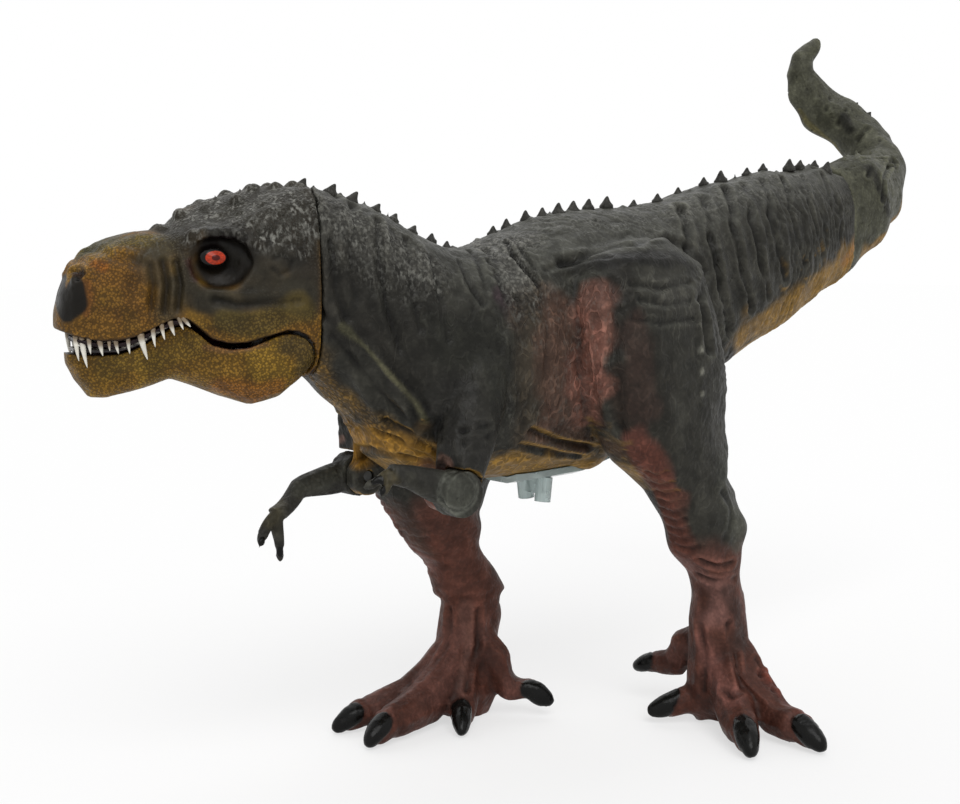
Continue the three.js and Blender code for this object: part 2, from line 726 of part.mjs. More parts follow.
function buildFoot(leg) {
  const level = leg.ankleShare * bodyHeight;
  return joined([footBase(leg), ...leg.toes.map((t) => toe(leg, t))])
    .subtract(levelBlock(0, -1))
    .subtract(levelBlock(level, 1))
    .add(anklePeg(leg));
}

// Tail end, beyond the joint: x, y and z as shares of bodyLength, bodyWidth and bodyHeight, and
// then half width and half height as shares of bodyWidth
const tailShares = [
  [1.69, 0.18, 0.73, 0.235, 0.3],
  [1.85, 0.27, 0.746, 0.2, 0.25],
  [1.975, 0.4, 0.785, 0.19, 0.205],
  [2.01, 0.54, 0.83, 0.18, 0.19],
  [1.972, 0.68, 0.872, 0.165, 0.172],
  [1.925, 0.8, 0.904, 0.14, 0.15],
  [1.885, 0.88, 0.931, 0.115, 0.12],
  [1.863, 0.92, 0.959, 0.095, 0.095],
  [1.882, 0.93, 0.984, 0.078, 0.078],
  [1.915, 0.92, 1.002, 0.062, 0.062],
  [1.937, 0.9, 1.019, 0.026, 0.026],
];

function tailJoint() {
  const joint = bodyRing(tailJointShare);
  const along = new THREE.Vector3().crossVectors(joint.side, joint.upward).normalize();
  if (along.x < 0) along.negate();
  return { joint, along };
}

function tailRings() {
  const { joint, along } = tailJoint();
  const first = { ...joint, centre: joint.centre.clone().addScaledVector(along, seamGap) };
  const rest = pathRings(tailShares.map(([x, y, z, half, high]) => [
    ...bodyPoint(x, y, z).toArray(), half * bodyWidth, high * bodyWidth,
  ]), joint.side);
  return [first, ...rest];
}

function tailPeg(grow = 0) {
  const { joint, along } = tailJoint();
  const back = joint.centre.clone().addScaledVector(along, tailPegLength).toArray();
  const front = joint.centre.clone().addScaledVector(along, -tailPegLength - grow).toArray();
  return pinBetween(back, front, tailPegRadius + grow);
}

// Trunk

function trunkCavity() {
  const inner = trunkRings.slice(1, hollowRows);
  const [first] = trunkRings;
  const front = {
    ...first,
    centre: first.centre.clone().addScaledVector(headForward, -skinWall),
  };
  return loftOf([front, ...inner], trunkSides, -skinWall);
}

function neckBore(grow = 0) {
  const start = seamCentre.clone().addScaledVector(headForward, -skinWall * 2).toArray();
  const end = seamCentre.clone().addScaledVector(headForward, neckPegDepth).toArray();
  return pinBetween(start, end, neckPegRadius + grow);
}

function buildTrunk() {
  return joined([
    trunkSolid(),
    upperArm(leftArm),
    upperArm(rightArm),
    ...spikes(backSpikeSpanShare, backSpikeCount, trunkRings),
    ...folds(),
  ])
    .subtract(trunkCavity())
    .subtract(neckBore(pinClearance))
    .subtract(hipPeg(leftLeg, pinClearance))
    .subtract(hipPeg(rightLeg, pinClearance))
    .subtract(tailPeg(pinClearance))
    .subtract(elbowRoom(leftArm))
    .subtract(elbowRoom(rightArm));
}

// Room beside each elbow for its disc to turn
function elbowRoom(arm) {
  const [x, , z] = elbowCentre(arm);
  const { inner, outer } = elbowSpan(arm);
  return pinBetween(
    [x, inner - arm.side * seamGap, z],
    [x, outer + arm.side * cutOverrun, z],
    elbowDiscRadius + seamGap,
  ).add(elbowPin(arm, pinClearance));
}

function buildTailTip() {
  const rings = tailRings();
  const row = spikes(tailSpikeSpanShare, tailSpikeCount, rings, smallSpikeShare);
  return joined([loftOf(rings, trunkSides), ...row]).add(tailPeg());
}

// Head

const eyeShare = [0.4, 0.13];

// A shallow dish round each eye
function eyeSocket(side) {
  const [x, y, z] = eyePlace(side);
  const socketRadius = eyeRadius * 2.6;
  const out = socketRadius * 0.72;
  return placedSolid(new THREE.SphereGeometry(socketRadius, 16, 10), [x, y + side * out, z]);
}

function eyePlace(side) {
  const [x, z] = headPoint(...eyeShare);
  return [x, side * (halfWidthAt(skullShares, eyeShare[0], z) - eyeDepth), z];
}

function eyeBall(side, grow = 0) {
  const ball = new THREE.SphereGeometry(eyeRadius + grow, 12, 8);
  return placedSolid(ball, eyePlace(side));
}

// The plug snaps into the skull and turns in the front wall of the neck
function neckPlugProfile(grow = 0) {
  const tip = neckPegDepth + neckFlangeThickness + grow;
  const shoulder = neckPegDepth - grow;
  const inner = -(seamGap + skinWall + pinClearance);
  const tail = inner - neckFlangeThickness;
  return [
    [0, tail], [neckFlangeRadius, tail], [neckFlangeRadius, inner], [neckPegRadius + grow, inner],
    [neckPegRadius + grow, shoulder], [neckFlangeRadius + grow, shoulder],
    [neckFlangeRadius + grow, tip], [0, tip],
  ];
}

// A lathe turned about the head's fore-and-aft axis
function neckLathe(profile) {
  const points = profile.map(([r, forward]) => new THREE.Vector2(r, forward));
  const geometry = new THREE.LatheGeometry(points, pinSides);
  geometry.rotateZ(Math.PI / 2);
  return solidOf(geometry);
}

function jawPin(grow = 0) {
  const reach = jawPinHalfLength + grow;
  return pinBetween([jawAxisX, -reach, jawAxisZ], [jawAxisX, reach, jawAxisZ], jawPinRadius + grow);
}

function hingeBoss() {
  const top = placedSolid(
    new THREE.BoxGeometry(jawBossRadius * 2, jawBossHalfWidth * 2, jawBossRadius * 3),
    [jawAxisX, 0, jawAxisZ + jawBossRadius * 1.5],
  );
  const eyelet = pinBetween(
    [jawAxisX, -jawBossHalfWidth, jawAxisZ],
    [jawAxisX, jawBossHalfWidth, jawAxisZ],
    jawBossRadius,
  );
  return top.add(eyelet);
}

// A head form drawn in by the same inset at its sides and at its front end
function mouthInside(shares, inset) {
  const [last] = shares.slice(-1);
  const shorten = 1 - inset / (last[0] * headLength);
  const shorter = shares.map(([forward, ...rest]) => [forward * shorten, ...rest]);
  return loftOf(headRings(shorter), headSides, -inset);
}

// The height between two lines that follow a lip
function lineBand(lipShares, from, to) {
  const line = lipShares.map(([forward, high]) => headPoint(forward, high));
  const bottom = line.map(([x, z]) => [x, z + from]);
  const top = line.map(([x, z]) => [x, z + to]);
  return sidePrism([...bottom, ...top.reverse()], -headWidth, headWidth);
}

// One side of an arch inside the lip, seen from above, from its back end to its front
function archLine(formShares, lipShares, inset) {
  const [tip] = formShares.slice(-1);
  const shorten = 1 - inset / (tip[0] * headLength);
  return archShares.map((forward) => {
    const half = halfWidthAt(formShares, forward, lipHeight(lipShares, forward));
    return [headPoint(forward * shorten, 0)[0], half - inset];
  });
}

// The gum strip that carries a row of teeth
function gumArch(formShares, lipShares, from, to) {
  const mirrored = (line) => line.map(([x, y]) => [x, -y]).reverse();
  const outer = archLine(formShares, lipShares, gumInset);
  const inner = archLine(formShares, lipShares, gumInset + gumWidth).map(([x, y], i) => [
    i === 0 ? outer[0][0] : x, y,
  ]);
  const plan = [...outer, ...mirrored(outer), ...mirrored(inner).reverse(), ...inner.reverse()];
  return planPrism(plan, -headHeight, 0).intersect(lineBand(lipShares, from, to));
}

function outlineAt(shares, forward) {
  const next = shares.findIndex(([f]) => f >= forward);
  const [a, b] = [shares[next - 1], shares[next]];
  const t = (forward - a[0]) / (b[0] - a[0]);
  return a.map((value, i) => value + (b[i] - value) * t);
}

// Half width of a head form at a height, on its rounded section
function halfWidthAt(shares, forward, z) {
  const [, top, bottom, half] = outlineAt(shares, forward);
  const middle = (bottom + (top - bottom) * headWidestShare) * headHeight;
  const reach = z > middle ? top * headHeight - middle : middle - bottom * headHeight;
  const level = Math.min(Math.abs(z - middle) / reach, 1) ** (1 / headSquareness);
  return half * headWidth * Math.sqrt(1 - level * level) ** headSquareness;
}

function lipHeight(shares, forward) {
  const next = Math.max(shares.findIndex(([f]) => f <= forward), 1);
  const [a, b] = [shares[next - 1], shares[next]];
  const t = (forward - a[0]) / (b[0] - a[0]);
  return (a[1] + (b[1] - a[1]) * t) * headHeight;
}

// One side's teeth, from the back of the row to the nose: forward place as a share of headLength,
// sideways place as a share of the arch's half width, and length as a multiple of toothRadius
const upperToothShares = [
  [0.53, 1, 1.6], [0.555, 1, 2.1], [0.58, 1, 2.6], [0.615, 1, 3], [0.655, 1, 3.6], [0.7, 1, 4.8],
  [0.745, 1, 3.2], [0.79, 1, 3.1], [0.835, 1, 3.4], [0.87, 1, 4.4], [0.9, 0.95, 5], [0.91, 0.34, 1.6],
];
const lowerToothShares = [
  [0.58, 1, 1.6], [0.63, 1, 1.8], [0.68, 1, 2], [0.73, 1, 2],
  [0.78, 1, 2.1], [0.825, 1, 2.2], [0.86, 0.9, 2.4],
];

// Cones that stand in the gum strip; they point down from the upper lip and up from the lower
function toothRow(rowShares, formShares, lipShares, pointing) {
  const inset = gumInset + gumWidth / 2;
  const [tip] = formShares.slice(-1);
  const shorten = 1 - inset / (tip[0] * headLength);
  const cones = [];
  for (const side of [-1, 1]) {
    for (const [forward, across, length] of rowShares) {
      const lip = lipHeight(lipShares, forward * shorten);
      const root = lip + pointing * (seamGap + gumThickness / 2);
      const y = side * across * (halfWidthAt(formShares, forward, lip) - inset);
      const size = length * toothRadius;
      const cone = new THREE.ConeGeometry(toothRadius, size, toothSides);
      cone.rotateX(pointing * Math.PI / 2);
      cone.translate(headPoint(forward * shorten, 0)[0], y, root + pointing * size / 2);
      cones.push(solidOf(cone));
    }
  }
  return cones;
}

function buildSkull() {
  const skull = loftOf(headRings(skullShares), headSides);
  const mouth = sidePrism(belowLine(upperLipShares, jawKnuckleRadius + seamGap * 2), -headWidth, headWidth);
  const crown = spikes(crownSpikeSpanShare, crownSpikeCount, headRings(skullShares), smallSpikeShare);
  return joined([skull, ...crown])
    .subtract(mouth)
    .subtract(palate())
    .add(hingeBoss())
    .subtract(neckLathe(neckPlugProfile(pinClearance)))
    .subtract(jawPin(pinClearance))
    .subtract(eyeSocket(-1))
    .subtract(eyeSocket(1))
    .subtract(eyeBall(-1, pinClearance))
    .subtract(eyeBall(1, pinClearance));
}

// The roof of the mouth, hollowed above the lips
function palate() {
  const { back, front, bottom, top } = palateShares;
  const [xBack, zBottom] = headPoint(back, bottom);
  const [xFront, zTop] = headPoint(front, top);
  const roof = placedSolid(
    new THREE.BoxGeometry(xBack - xFront, headWidth, zTop - zBottom),
    [(xFront + xBack) / 2, 0, (zTop + zBottom) / 2],
  );
  return mouthInside(skullShares, lipThickness).intersect(roof);
}

function buildJaw() {
  const jaw = loftOf(headRings(jawShares), headSides);
  const keep = sidePrism(belowLine(lowerLipShares, jawKnuckleRadius), -headWidth, headWidth);
  const floor = mouthFloorShare * headHeight;
  const room = placedSolid(
    new THREE.BoxGeometry(headLength, headWidth, headHeight),
    [-headLength / 2, 0, floor + headHeight / 2],
  );
  const inside = mouthInside(jawShares, jawWall).intersect(room);
  const bossRoom = placedSolid(
    new THREE.BoxGeometry(jawKnuckleRadius * 4, (jawBossHalfWidth + seamGap) * 2, headHeight),
    [-jawKnuckleRadius, 0, jawAxisZ - jawKnuckleRadius * 0.8 + headHeight / 2],
  );
  return jaw.intersect(keep).subtract(inside).subtract(bossRoom).subtract(jawPin(pinClearance));
}

// The tongue lies on the floor of the mouth and shuts off the gap between the lips.
// Each row: forward place, half width as a share of headWidth, rise over the lower lip as a
// share of headHeight
const tongueShares = [
  [0.36, 0.16, 0.06], [0.44, 0.165, 0.085], [0.54, 0.15, 0.085],
  [0.66, 0.115, 0.07], [0.75, 0.09, 0.045], [0.81, 0.055, 0.01],
];

function buildTongue() {
  return loftOf(limbRings(tongueShares.map(([forward, half, rise]) => {
    const top = lipHeight(lowerLipShares, forward) + rise * headHeight;
    const [, , jawBottom] = outlineAt(jawShares, forward);
    const bottom = Math.max(jawBottom * headHeight + jawWall, mouthFloorShare * headHeight) + seamGap;
    return [headPoint(forward, 0)[0], 0, (top + bottom) / 2, half * headWidth, (top - bottom) / 2];
  })), limbSides);
}

function buildUpperTeeth() {
  const gum = gumArch(skullShares, upperLipShares, -seamGap - gumThickness, -seamGap);
  return joined([gum, ...toothRow(upperToothShares, skullShares, upperLipShares, -1)]);
}

function buildLowerTeeth() {
  const gum = gumArch(jawShares, lowerLipShares, seamGap, seamGap + gumThickness);
  return joined([gum, ...toothRow(lowerToothShares, jawShares, lowerLipShares, 1)]);
}

// Clear support under the belly: a curved saddle and a short tab with two lobes

const saddleShares = { from: 0.06, to: 0.44, tab: 0.19, level: 0.356 };

function buildSupport(trunkGrown) {
  const { from, to, tab, level } = saddleShares;
  const belly = level * bodyHeight;
  const saddleBlock = placedSolid(
    new THREE.BoxGeometry((to - from) * bodyLength, supportWidth, supportWidth),
    [(from + to) / 2 * bodyLength, 0, belly],
  );
  const saddle = trunkSolid(seamGap + supportThickness).subtract(trunkGrown).intersect(saddleBlock);
  const tabTop = belly - seamGap - supportThickness / 2;
  const tabX = tab * bodyLength;
  const lobe = supportWidth * 0.27;
  const tabs = [-1, 1].map((side) => pinBetween(
    [tabX, side * lobe, tabTop],
    [tabX + side * lobe * 0.2, side * lobe, tabTop - supportTabDrop],
    supportTabThickness,
    limbSides,
  ));
  const web = placedSolid(
    new THREE.BoxGeometry(supportTabThickness, lobe * 2, supportTabDrop * 0.7),
    [tabX, 0, tabTop - supportTabDrop * 0.35],
  );
  return joined([saddle, web, ...tabs]).subtract(trunkGrown);
}

// Assembly

const figure = new THREE.Group();
const head = new THREE.Group();
head.position.copy(seamCentre);
head.rotation.z = headYaw;
figure.add(head);

const skin = 0x3c4038;
const ochre = 0x7a5a2c;
const redBrown = 0x5c372f;
const ivory = 0xe6e2d4;

const trunkGrown = joined([trunkSolid(seamGap), ...folds(seamGap)]);
figure.add(meshOf('trunk_and_neck', buildTrunk(), skinMaterial(skin)));
figure.add(meshOf('tail_end', buildTailTip(), skinMaterial(skin)));
for (const leg of [leftLeg, rightLeg]) {
  figure.add(meshOf(`${leg.name}_leg`, buildLeg(leg, trunkGrown), skinMaterial(skin)));
  figure.add(meshOf(`${leg.name}_foot`, buildFoot(leg), skinMaterial(redBrown)));
}
for (const arm of [leftArm, rightArm]) {
  figure.add(meshOf(`${arm.name}_forearm`, forearm(arm), skinMaterial(skin)));
  figure.add(meshOf(`${arm.name}_elbow_pin`, elbowPin(arm), skinMaterial(0x2a2a2a, 0.35)));
}
figure.add(meshOf('belly_support', buildSupport(trunkGrown), skinMaterial(0xb8c0bc, 0.2)));

head.add(meshOf('skull', buildSkull(), skinMaterial(ochre)));
head.add(meshOf('lower_jaw', buildJaw(), skinMaterial(ochre)));
head.add(meshOf('tongue', buildTongue(), skinMaterial(0x4a2a30, 0.4)));
head.add(meshOf('upper_teeth', buildUpperTeeth(), skinMaterial(ivory, 0.3)));
head.add(meshOf('lower_teeth', buildLowerTeeth(), skinMaterial(ivory, 0.3)));
head.add(meshOf('left_eye', eyeBall(-1), skinMaterial(0xc8402a, 0.15)));
head.add(meshOf('right_eye', eyeBall(1), skinMaterial(0xc8402a, 0.15)));
head.add(meshOf('jaw_pin', jawPin(), skinMaterial(0x2a2a2a, 0.35)));
head.add(meshOf('neck_plug', neckLathe(neckPlugProfile()), skinMaterial(0x2a2a2a, 0.35)));

// The figure stands on z = 0 with the middle of its outline over the origin
const outline = new THREE.Box3().setFromObject(figure, true);
const middle = outline.getCenter(new THREE.Vector3());
figure.position.set(-middle.x, -middle.y, -outline.min.z);

export default figure;
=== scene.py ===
"""A standing toy dinosaur in vinyl: sculpted and painted skins, teeth, eyes and a plain studio."""

import json
import logging
import math
from dataclasses import dataclass
from enum import Enum

import bmesh
import bpy
import numpy as np
from mathutils import Matrix, Vector, noise
from mathutils.bvhtree import BVHTree
from mathutils.kdtree import KDTree


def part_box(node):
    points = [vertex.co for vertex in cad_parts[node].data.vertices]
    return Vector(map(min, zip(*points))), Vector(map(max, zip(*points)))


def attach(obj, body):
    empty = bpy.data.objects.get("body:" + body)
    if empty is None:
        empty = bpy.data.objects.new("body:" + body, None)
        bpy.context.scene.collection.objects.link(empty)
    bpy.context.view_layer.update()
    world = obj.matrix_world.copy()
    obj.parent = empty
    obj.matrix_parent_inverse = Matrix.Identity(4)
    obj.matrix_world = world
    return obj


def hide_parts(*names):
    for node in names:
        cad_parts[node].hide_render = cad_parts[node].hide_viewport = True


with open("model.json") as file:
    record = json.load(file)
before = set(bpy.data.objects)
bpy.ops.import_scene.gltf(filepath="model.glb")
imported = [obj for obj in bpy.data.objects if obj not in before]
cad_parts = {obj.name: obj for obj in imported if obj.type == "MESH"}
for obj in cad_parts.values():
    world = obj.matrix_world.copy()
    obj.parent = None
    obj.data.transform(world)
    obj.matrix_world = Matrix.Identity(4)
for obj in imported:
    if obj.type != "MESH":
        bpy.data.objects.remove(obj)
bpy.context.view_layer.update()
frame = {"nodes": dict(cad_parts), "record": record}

LOG = logging.getLogger("toy_dinosaur")
MM = 0.001
UP = Vector((0, 0, 1))
Pixels = tuple[tuple[float, float], ...]
Piece = bpy.types.Object
Finish = bpy.types.Material
Socket = bpy.types.NodeSocket
JOINTS = {j["name"]: j["pos_m"] for j in frame["record"]["behaviour"]["joints"]}
NECK = Vector(JOINTS["head_swivel"])
ELBOWS = tuple(np.array(JOINTS[name]) for name in ("left_elbow", "right_elbow"))
# Sizes of the sculpting, in millimetres
ELBOW_ROOM = (12.0, 18.0)
FUSE_SWELL = 0.25
EDGE_HOLD = 2.2
SEAM_REACH = 1.2
OFF_SKIN = 4.0
FLOOR_GAP = 0.2
CAP_DEPTH = 3.0
# Rounds of averaging
SHAVE_REACH = 60
SHAVE_CALM = 10
BORDER_ROUNDS = 12


def ink(code: str) -> np.ndarray:
    """Turns a written colour into scene-linear values.

    Args:
        code: Six hexadecimal digits, such as "7a5a28".

    Returns:
        Red, green and blue from 0 to 1.
    """
    display = np.array([int(code[i:i + 2], 16) / 255 for i in (0, 2, 4)])
    return np.where(display <= 0.04045, display / 12.92, ((display + 0.055) / 1.055) ** 2.4)


def ease(values: np.ndarray, start: float, end: float) -> np.ndarray:
    """Rises smoothly from 0 at start to 1 at end.

    Args:
        values: The values to grade.
        start: Where the rise begins; it may lie above end.
        end: Where the rise is complete.

    Returns:
        Grades from 0 to 1.
    """
    t = np.clip((values - start) / (end - start), 0, 1)
    return t * t * (3 - 2 * t)


def wander(points: np.ndarray, size: float, seed: float = 0.0) -> np.ndarray:
    """Smooth noise over points.

    Args:
        points: Places in metres, one a row.
        size: Breadth of the noise's waves in metres.
        seed: Shifts the pattern.

    Returns:
        Values of about -1 to 1.
    """
    spot = points / size + np.array([seed, seed * 0.7, -seed]) + 100.0
    cell = np.floor(spot).astype(np.int64)
    part = spot - cell
    blend = part ** 3 * (part * (part * 6 - 15) + 10)
    total = np.zeros(len(points))
    for corner in np.ndindex(2, 2, 2):
        lattice = cell + np.array(corner)
        code = (lattice[:, 0] * 73856093) ^ (lattice[:, 1] * 19349663) ^ (lattice[:, 2] * 83492791)
        code = ((code ^ (code >> 13)) * 1274126177) & 0x7FFFFFFF
        code = ((code ^ (code >> 15)) * 1103515245) & 0x7FFFFFFF
        weight = np.prod(np.where(np.array(corner), blend, 1 - blend), axis=1)
        total += weight * (code / 0x3FFFFFFF - 1)
    return total * 1.5


@dataclass(frozen=True)
class PhotoView:
    """The photograph's camera, as fitted to the figure."""

    target: tuple[float, float, float] = tuple(NECK + Vector((0.0495, -0.007, -0.031)))
    azimuth: float = -40.0
    elevation: float = 6.0
    distance: float = 0.387
    focal: float = 1500.0
    width: float = 960.0
    height: float = 804.0
    sensor: float = 36.0

    def axes(self) -> tuple[Vector, Vector, Vector]:
        """The camera's right, up and backward directions.

        Returns:
            Three unit directions.
        """
        turn, lift = math.radians(self.azimuth), math.radians(self.elevation)
        back = Vector((math.sin(turn) * math.cos(lift), -math.cos(turn) * math.cos(lift), math.sin(lift)))
        right = Vector((math.cos(turn), math.sin(turn), 0))
        return right, back.cross(right), back

    def eye(self) -> Vector:
        """Where the camera stands."""
        return Vector(self.target) + self.axes()[2] * self.distance

    def ray(self, u: float, v: float) -> Vector:
        """The direction of sight through a pixel.

        Args:
            u: Pixel column in the photograph's frame.
            v: Pixel row in the photograph's frame.

        Returns:
            A unit direction away from the camera.
        """
        right, up, back = self.axes()
        across, down = (u - self.width / 2) / self.focal, (v - self.height / 2) / self.focal
        return (-back + right * across - up * down).normalized()

    def off_sight(self, points: np.ndarray, u: float, v: float) -> np.ndarray:
        """How far points lie from the line of sight through a pixel."""
        offset, ray = points - np.array(self.eye()), np.array(self.ray(u, v))
        return np.linalg.norm(offset - (offset @ ray)[:, None] * ray, axis=1)

    def place_camera(self) -> None:
        """Adds the camera and makes it the scene's own."""
        data = bpy.data.cameras.new("photo_camera")
        data.sensor_width = self.sensor
        data.lens = self.focal / self.width * self.sensor
        data.clip_start = 0.01
        camera = bpy.data.objects.new("photo_camera", data)
        bpy.context.scene.collection.objects.link(camera)
        right, up, back = self.axes()
        turn = Matrix((right, up, back)).transposed().to_4x4()
        camera.matrix_world = Matrix.Translation(self.eye()) @ turn
        bpy.context.scene.camera = camera


VIEW = PhotoView()


@dataclass(frozen=True)
class Mirror:
    """The plane that splits a form into its left and right sides."""

    centre: tuple[float, float, float]
    yaw: float = 0.0

    def side(self) -> np.ndarray:
        """The unit direction toward the animal's left."""
        turn = math.radians(self.yaw)
        return np.array([math.sin(turn), -math.cos(turn), 0.0])

    def forward(self) -> np.ndarray:
        """The unit direction toward the nose."""
        turn = math.radians(self.yaw)
        return np.array([-math.cos(turn), -math.sin(turn), 0.0])

    def reflect(self, points: np.ndarray) -> np.ndarray:
        """Reflects points in the plane.

        Args:
            points: Places in metres, one a row.

        Returns:
            The places on the other side.
        """
        away = (points - np.array(self.centre)) @ self.side()
        return points - 2 * away[:, None] * self.side()

    def local(self, points: np.ndarray) -> np.ndarray:
        """Forward, leftward and upward distances from the centre, one row a point."""
        offset = points - np.array(self.centre)
        return np.column_stack([offset @ self.forward(), offset @ self.side(), offset[:, 2]])


BODY_PLANE = Mirror((0.0, NECK.y - 0.007, 0.1))
HEAD_PLANE = Mirror(tuple(NECK), -18.0)


class Twin(Enum):
    """Where else a stroke made on the seen side goes."""

    NONE = "nowhere"
    PLANE = "across the form's own middle"
    LEG = "onto the outer side of the other leg"


@dataclass(frozen=True)
class Stride:
    """How far ahead the right leg stands of the left one, in millimetres, by height."""

    heights: tuple[float, ...] = (0.0, 30.0, 42.0, 50.0, 60.0, 74.0, 88.0, 103.0, 130.0)
    leads: tuple[float, ...] = (-47.0, -45.0, -45.0, -50.0, -50.0, -41.0, -28.0, -15.0, -8.0)

    def carry(self, points: np.ndarray) -> np.ndarray:
        """Takes points of the left leg's outer side to the right leg's.

        Args:
            points: Places in metres, one a row.

        Returns:
            Their twins, close to the right leg's skin.
        """
        twins = BODY_PLANE.reflect(points)
        twins[:, 0] += np.interp(points[:, 2] / MM, self.heights, self.leads) * MM
        return twins


STRIDE = Stride()


def choose(obj: Piece) -> None:
    """Makes one object the only selected and active one.

    Args:
        obj: The object.
    """
    bpy.ops.object.select_all(action="DESELECT")
    obj.select_set(True)
    bpy.context.view_layer.objects.active = obj


def even_out(obj: Piece, voxel: float) -> None:
    """Rebuilds an object's surface as even quads.

    Args:
        obj: The object, which must be closed.
        voxel: Width of a quad in metres.
    """
    choose(obj)
    step = obj.modifiers.new("even", "REMESH")
    step.mode = "VOXEL"
    step.voxel_size = voxel
    bpy.ops.object.modifier_apply(modifier=step.name)


def copy_node(node: str, name: str, swell: float = 0.0) -> Piece:
    """Copies a CAD node as a new object with its loose triangles merged.

    Args:
        node: The node's name.
        name: The new object's name.
        swell: How far the copy's surface moves out, in metres.

    Returns:
        The copy, in the same place.
    """
    mesh = frame["nodes"][node].data.copy()
    mesh.materials.clear()
    obj = bpy.data.objects.new(name, mesh)
    bpy.context.scene.collection.objects.link(obj)
    form = bmesh.new()
    form.from_mesh(mesh)
    bmesh.ops.remove_doubles(form, verts=form.verts, dist=0.002 * MM)
    form.normal_update()
    for vertex in form.verts:
        vertex.co += vertex.normal * swell
    form.to_mesh(mesh)
    form.free()
    return obj


def join_as(parts: list[Piece], name: str) -> Piece:
    """Joins objects into one.

    Args:
        parts: The objects; the first one takes in the others.
        name: The joined object's name.

    Returns:
        The joined object.
    """
    bpy.ops.object.select_all(action="DESELECT")
    for part in parts:
        part.select_set(True)
    bpy.context.view_layer.objects.active = parts[0]
    if len(parts) > 1:
        bpy.ops.object.join()
    parts[0].name = name
    return parts[0]


def new_ball(sides: int, rings: int, radius: float = 0.5) -> Piece:
    """Adds a sphere at the origin, to be shaped.

    Args:
        sides: Faces round it.
        rings: Faces from pole to pole.
        radius: Its radius.

    Returns:
        The sphere.
    """
    bpy.ops.object.select_all(action="DESELECT")
    bpy.ops.mesh.primitive_uv_sphere_add(segments=sides, ring_count=rings, radius=radius)
    return bpy.context.object


def fuse(nodes: tuple[str, ...], name: str, swell: float) -> Piece:
    """Copies CAD nodes as one object, swollen so that the gaps between them close.

    Args:
        nodes: The nodes' names.
        name: The new object's name.
        swell: How far each copy swells, in metres.

    Returns:
        The joined copy.
    """
    return join_as([copy_node(node, f"{node}_copy", swell) for node in nodes], name)


def surface_of(obj: Piece) -> BVHTree:
    """The searchable surface of an object whose place is in its mesh."""
    mesh = obj.data
    return BVHTree.FromPolygons([v.co for v in mesh.vertices], [tuple(f.vertices) for f in mesh.polygons])


def drop_lining(obj: Piece, rays: int = 6, rounds: int = 3, limit: float = 0.12) -> None:
    """Deletes the inner wall of a hollow form and closes the bores that led to it.

    Args:
        obj: The hollow form, with even faces.
        rays: Lines of sight tried from each face.
        rounds: Rounds of averaging between neighbours.
        limit: Faces that see the outside along a smaller share of the lines are inner ones.
    """
    form = bmesh.new()
    form.from_mesh(obj.data)
    form.normal_update()
    tree = BVHTree.FromBMesh(form)
    seen = np.zeros(len(form.faces))
    for i, face in enumerate(form.faces):
        start = face.calc_center_median() + face.normal * (0.05 * MM)
        side = face.normal.orthogonal().normalized()
        for k in range(rays):
            lean = math.radians(10 + 25 * (k % 3))
            turned = Matrix.Rotation(k * 2.4, 3, face.normal) @ side
            sight = face.normal * math.cos(lean) + turned * math.sin(lean)
            if tree.ray_cast(start, sight, 0.5)[0] is None:
                seen[i] += 1 / rays
                if k == 1 and seen[i] > 1.5 / rays:
                    seen[i] = 1.0
                    break
    form.faces.index_update()
    pairs = np.array([[f.index for f in e.link_faces] for e in form.edges if len(e.link_faces) == 2])
    count = np.bincount(pairs.ravel(), minlength=len(seen))
    for _ in range(rounds):
        total = np.bincount(pairs[:, 0], seen[pairs[:, 1]], len(seen))
        total += np.bincount(pairs[:, 1], seen[pairs[:, 0]], len(seen))
        seen = 0.5 * seen + 0.5 * total / np.maximum(count, 1)
    bmesh.ops.delete(form, geom=[f for f, s in zip(form.faces, seen) if s < limit], context="FACES")
    keep_largest(form)
    bmesh.ops.holes_fill(form, edges=[e for e in form.edges if e.is_boundary], sides=0)
    bmesh.ops.triangulate(form, faces=[f for f in form.faces if len(f.verts) > 4])
    form.to_mesh(obj.data)
    form.free()


def keep_largest(form: bmesh.types.BMesh) -> None:
    """Deletes every loose part of a mesh but the one with the most faces.

    Args:
        form: The mesh.
    """
    left = set(form.faces)
    parts = []
    while left:
        part, edge = set(), [left.pop()]
        while edge:
            face = edge.pop()
            part.add(face)
            for side in face.edges:
                for other in side.link_faces:
                    if other in left:
                        left.remove(other)
                        edge.append(other)
        parts.append(part)
    parts.sort(key=len, reverse=True)
    for part in parts[1:]:
        bmesh.ops.delete(form, geom=list(part), context="FACES")


@dataclass(frozen=True)
class Crease:
    """A fold in the skin, drawn along pixels of the photograph."""

    path: Pixels
    width: float = 1.2
    depth: float = 0.8
    lip: float = 0.4
    twin: Twin = Twin.PLANE


@dataclass(frozen=True)
class Pull:
    """A soft tug on the skin at a pixel of the photograph; its radius is in millimetres."""

    at: tuple[float, float]
    by: tuple[float, float]
    radius: float


@dataclass(frozen=True)
class Wrinkles:
    """A field of fine parallel wrinkles.

    The spacing, depth and area are in millimetres, and the area is a centre and three radii.
    """

    across: tuple[float, float, float]
    spacing: float
    depth: float
    centre: tuple[float, float, float]
    radii: tuple[float, float, float]
    unrest: float = 1.2
    seed: float = 1.0


@dataclass(frozen=True)
class Spray:
    """A stroke of paint along pixels of the photograph, soft or firm; its radius is in millimetres."""

    path: Pixels
    radius: float
    colour: str
    strength: float = 0.9
    twin: Twin = Twin.PLANE
    firm: bool = False


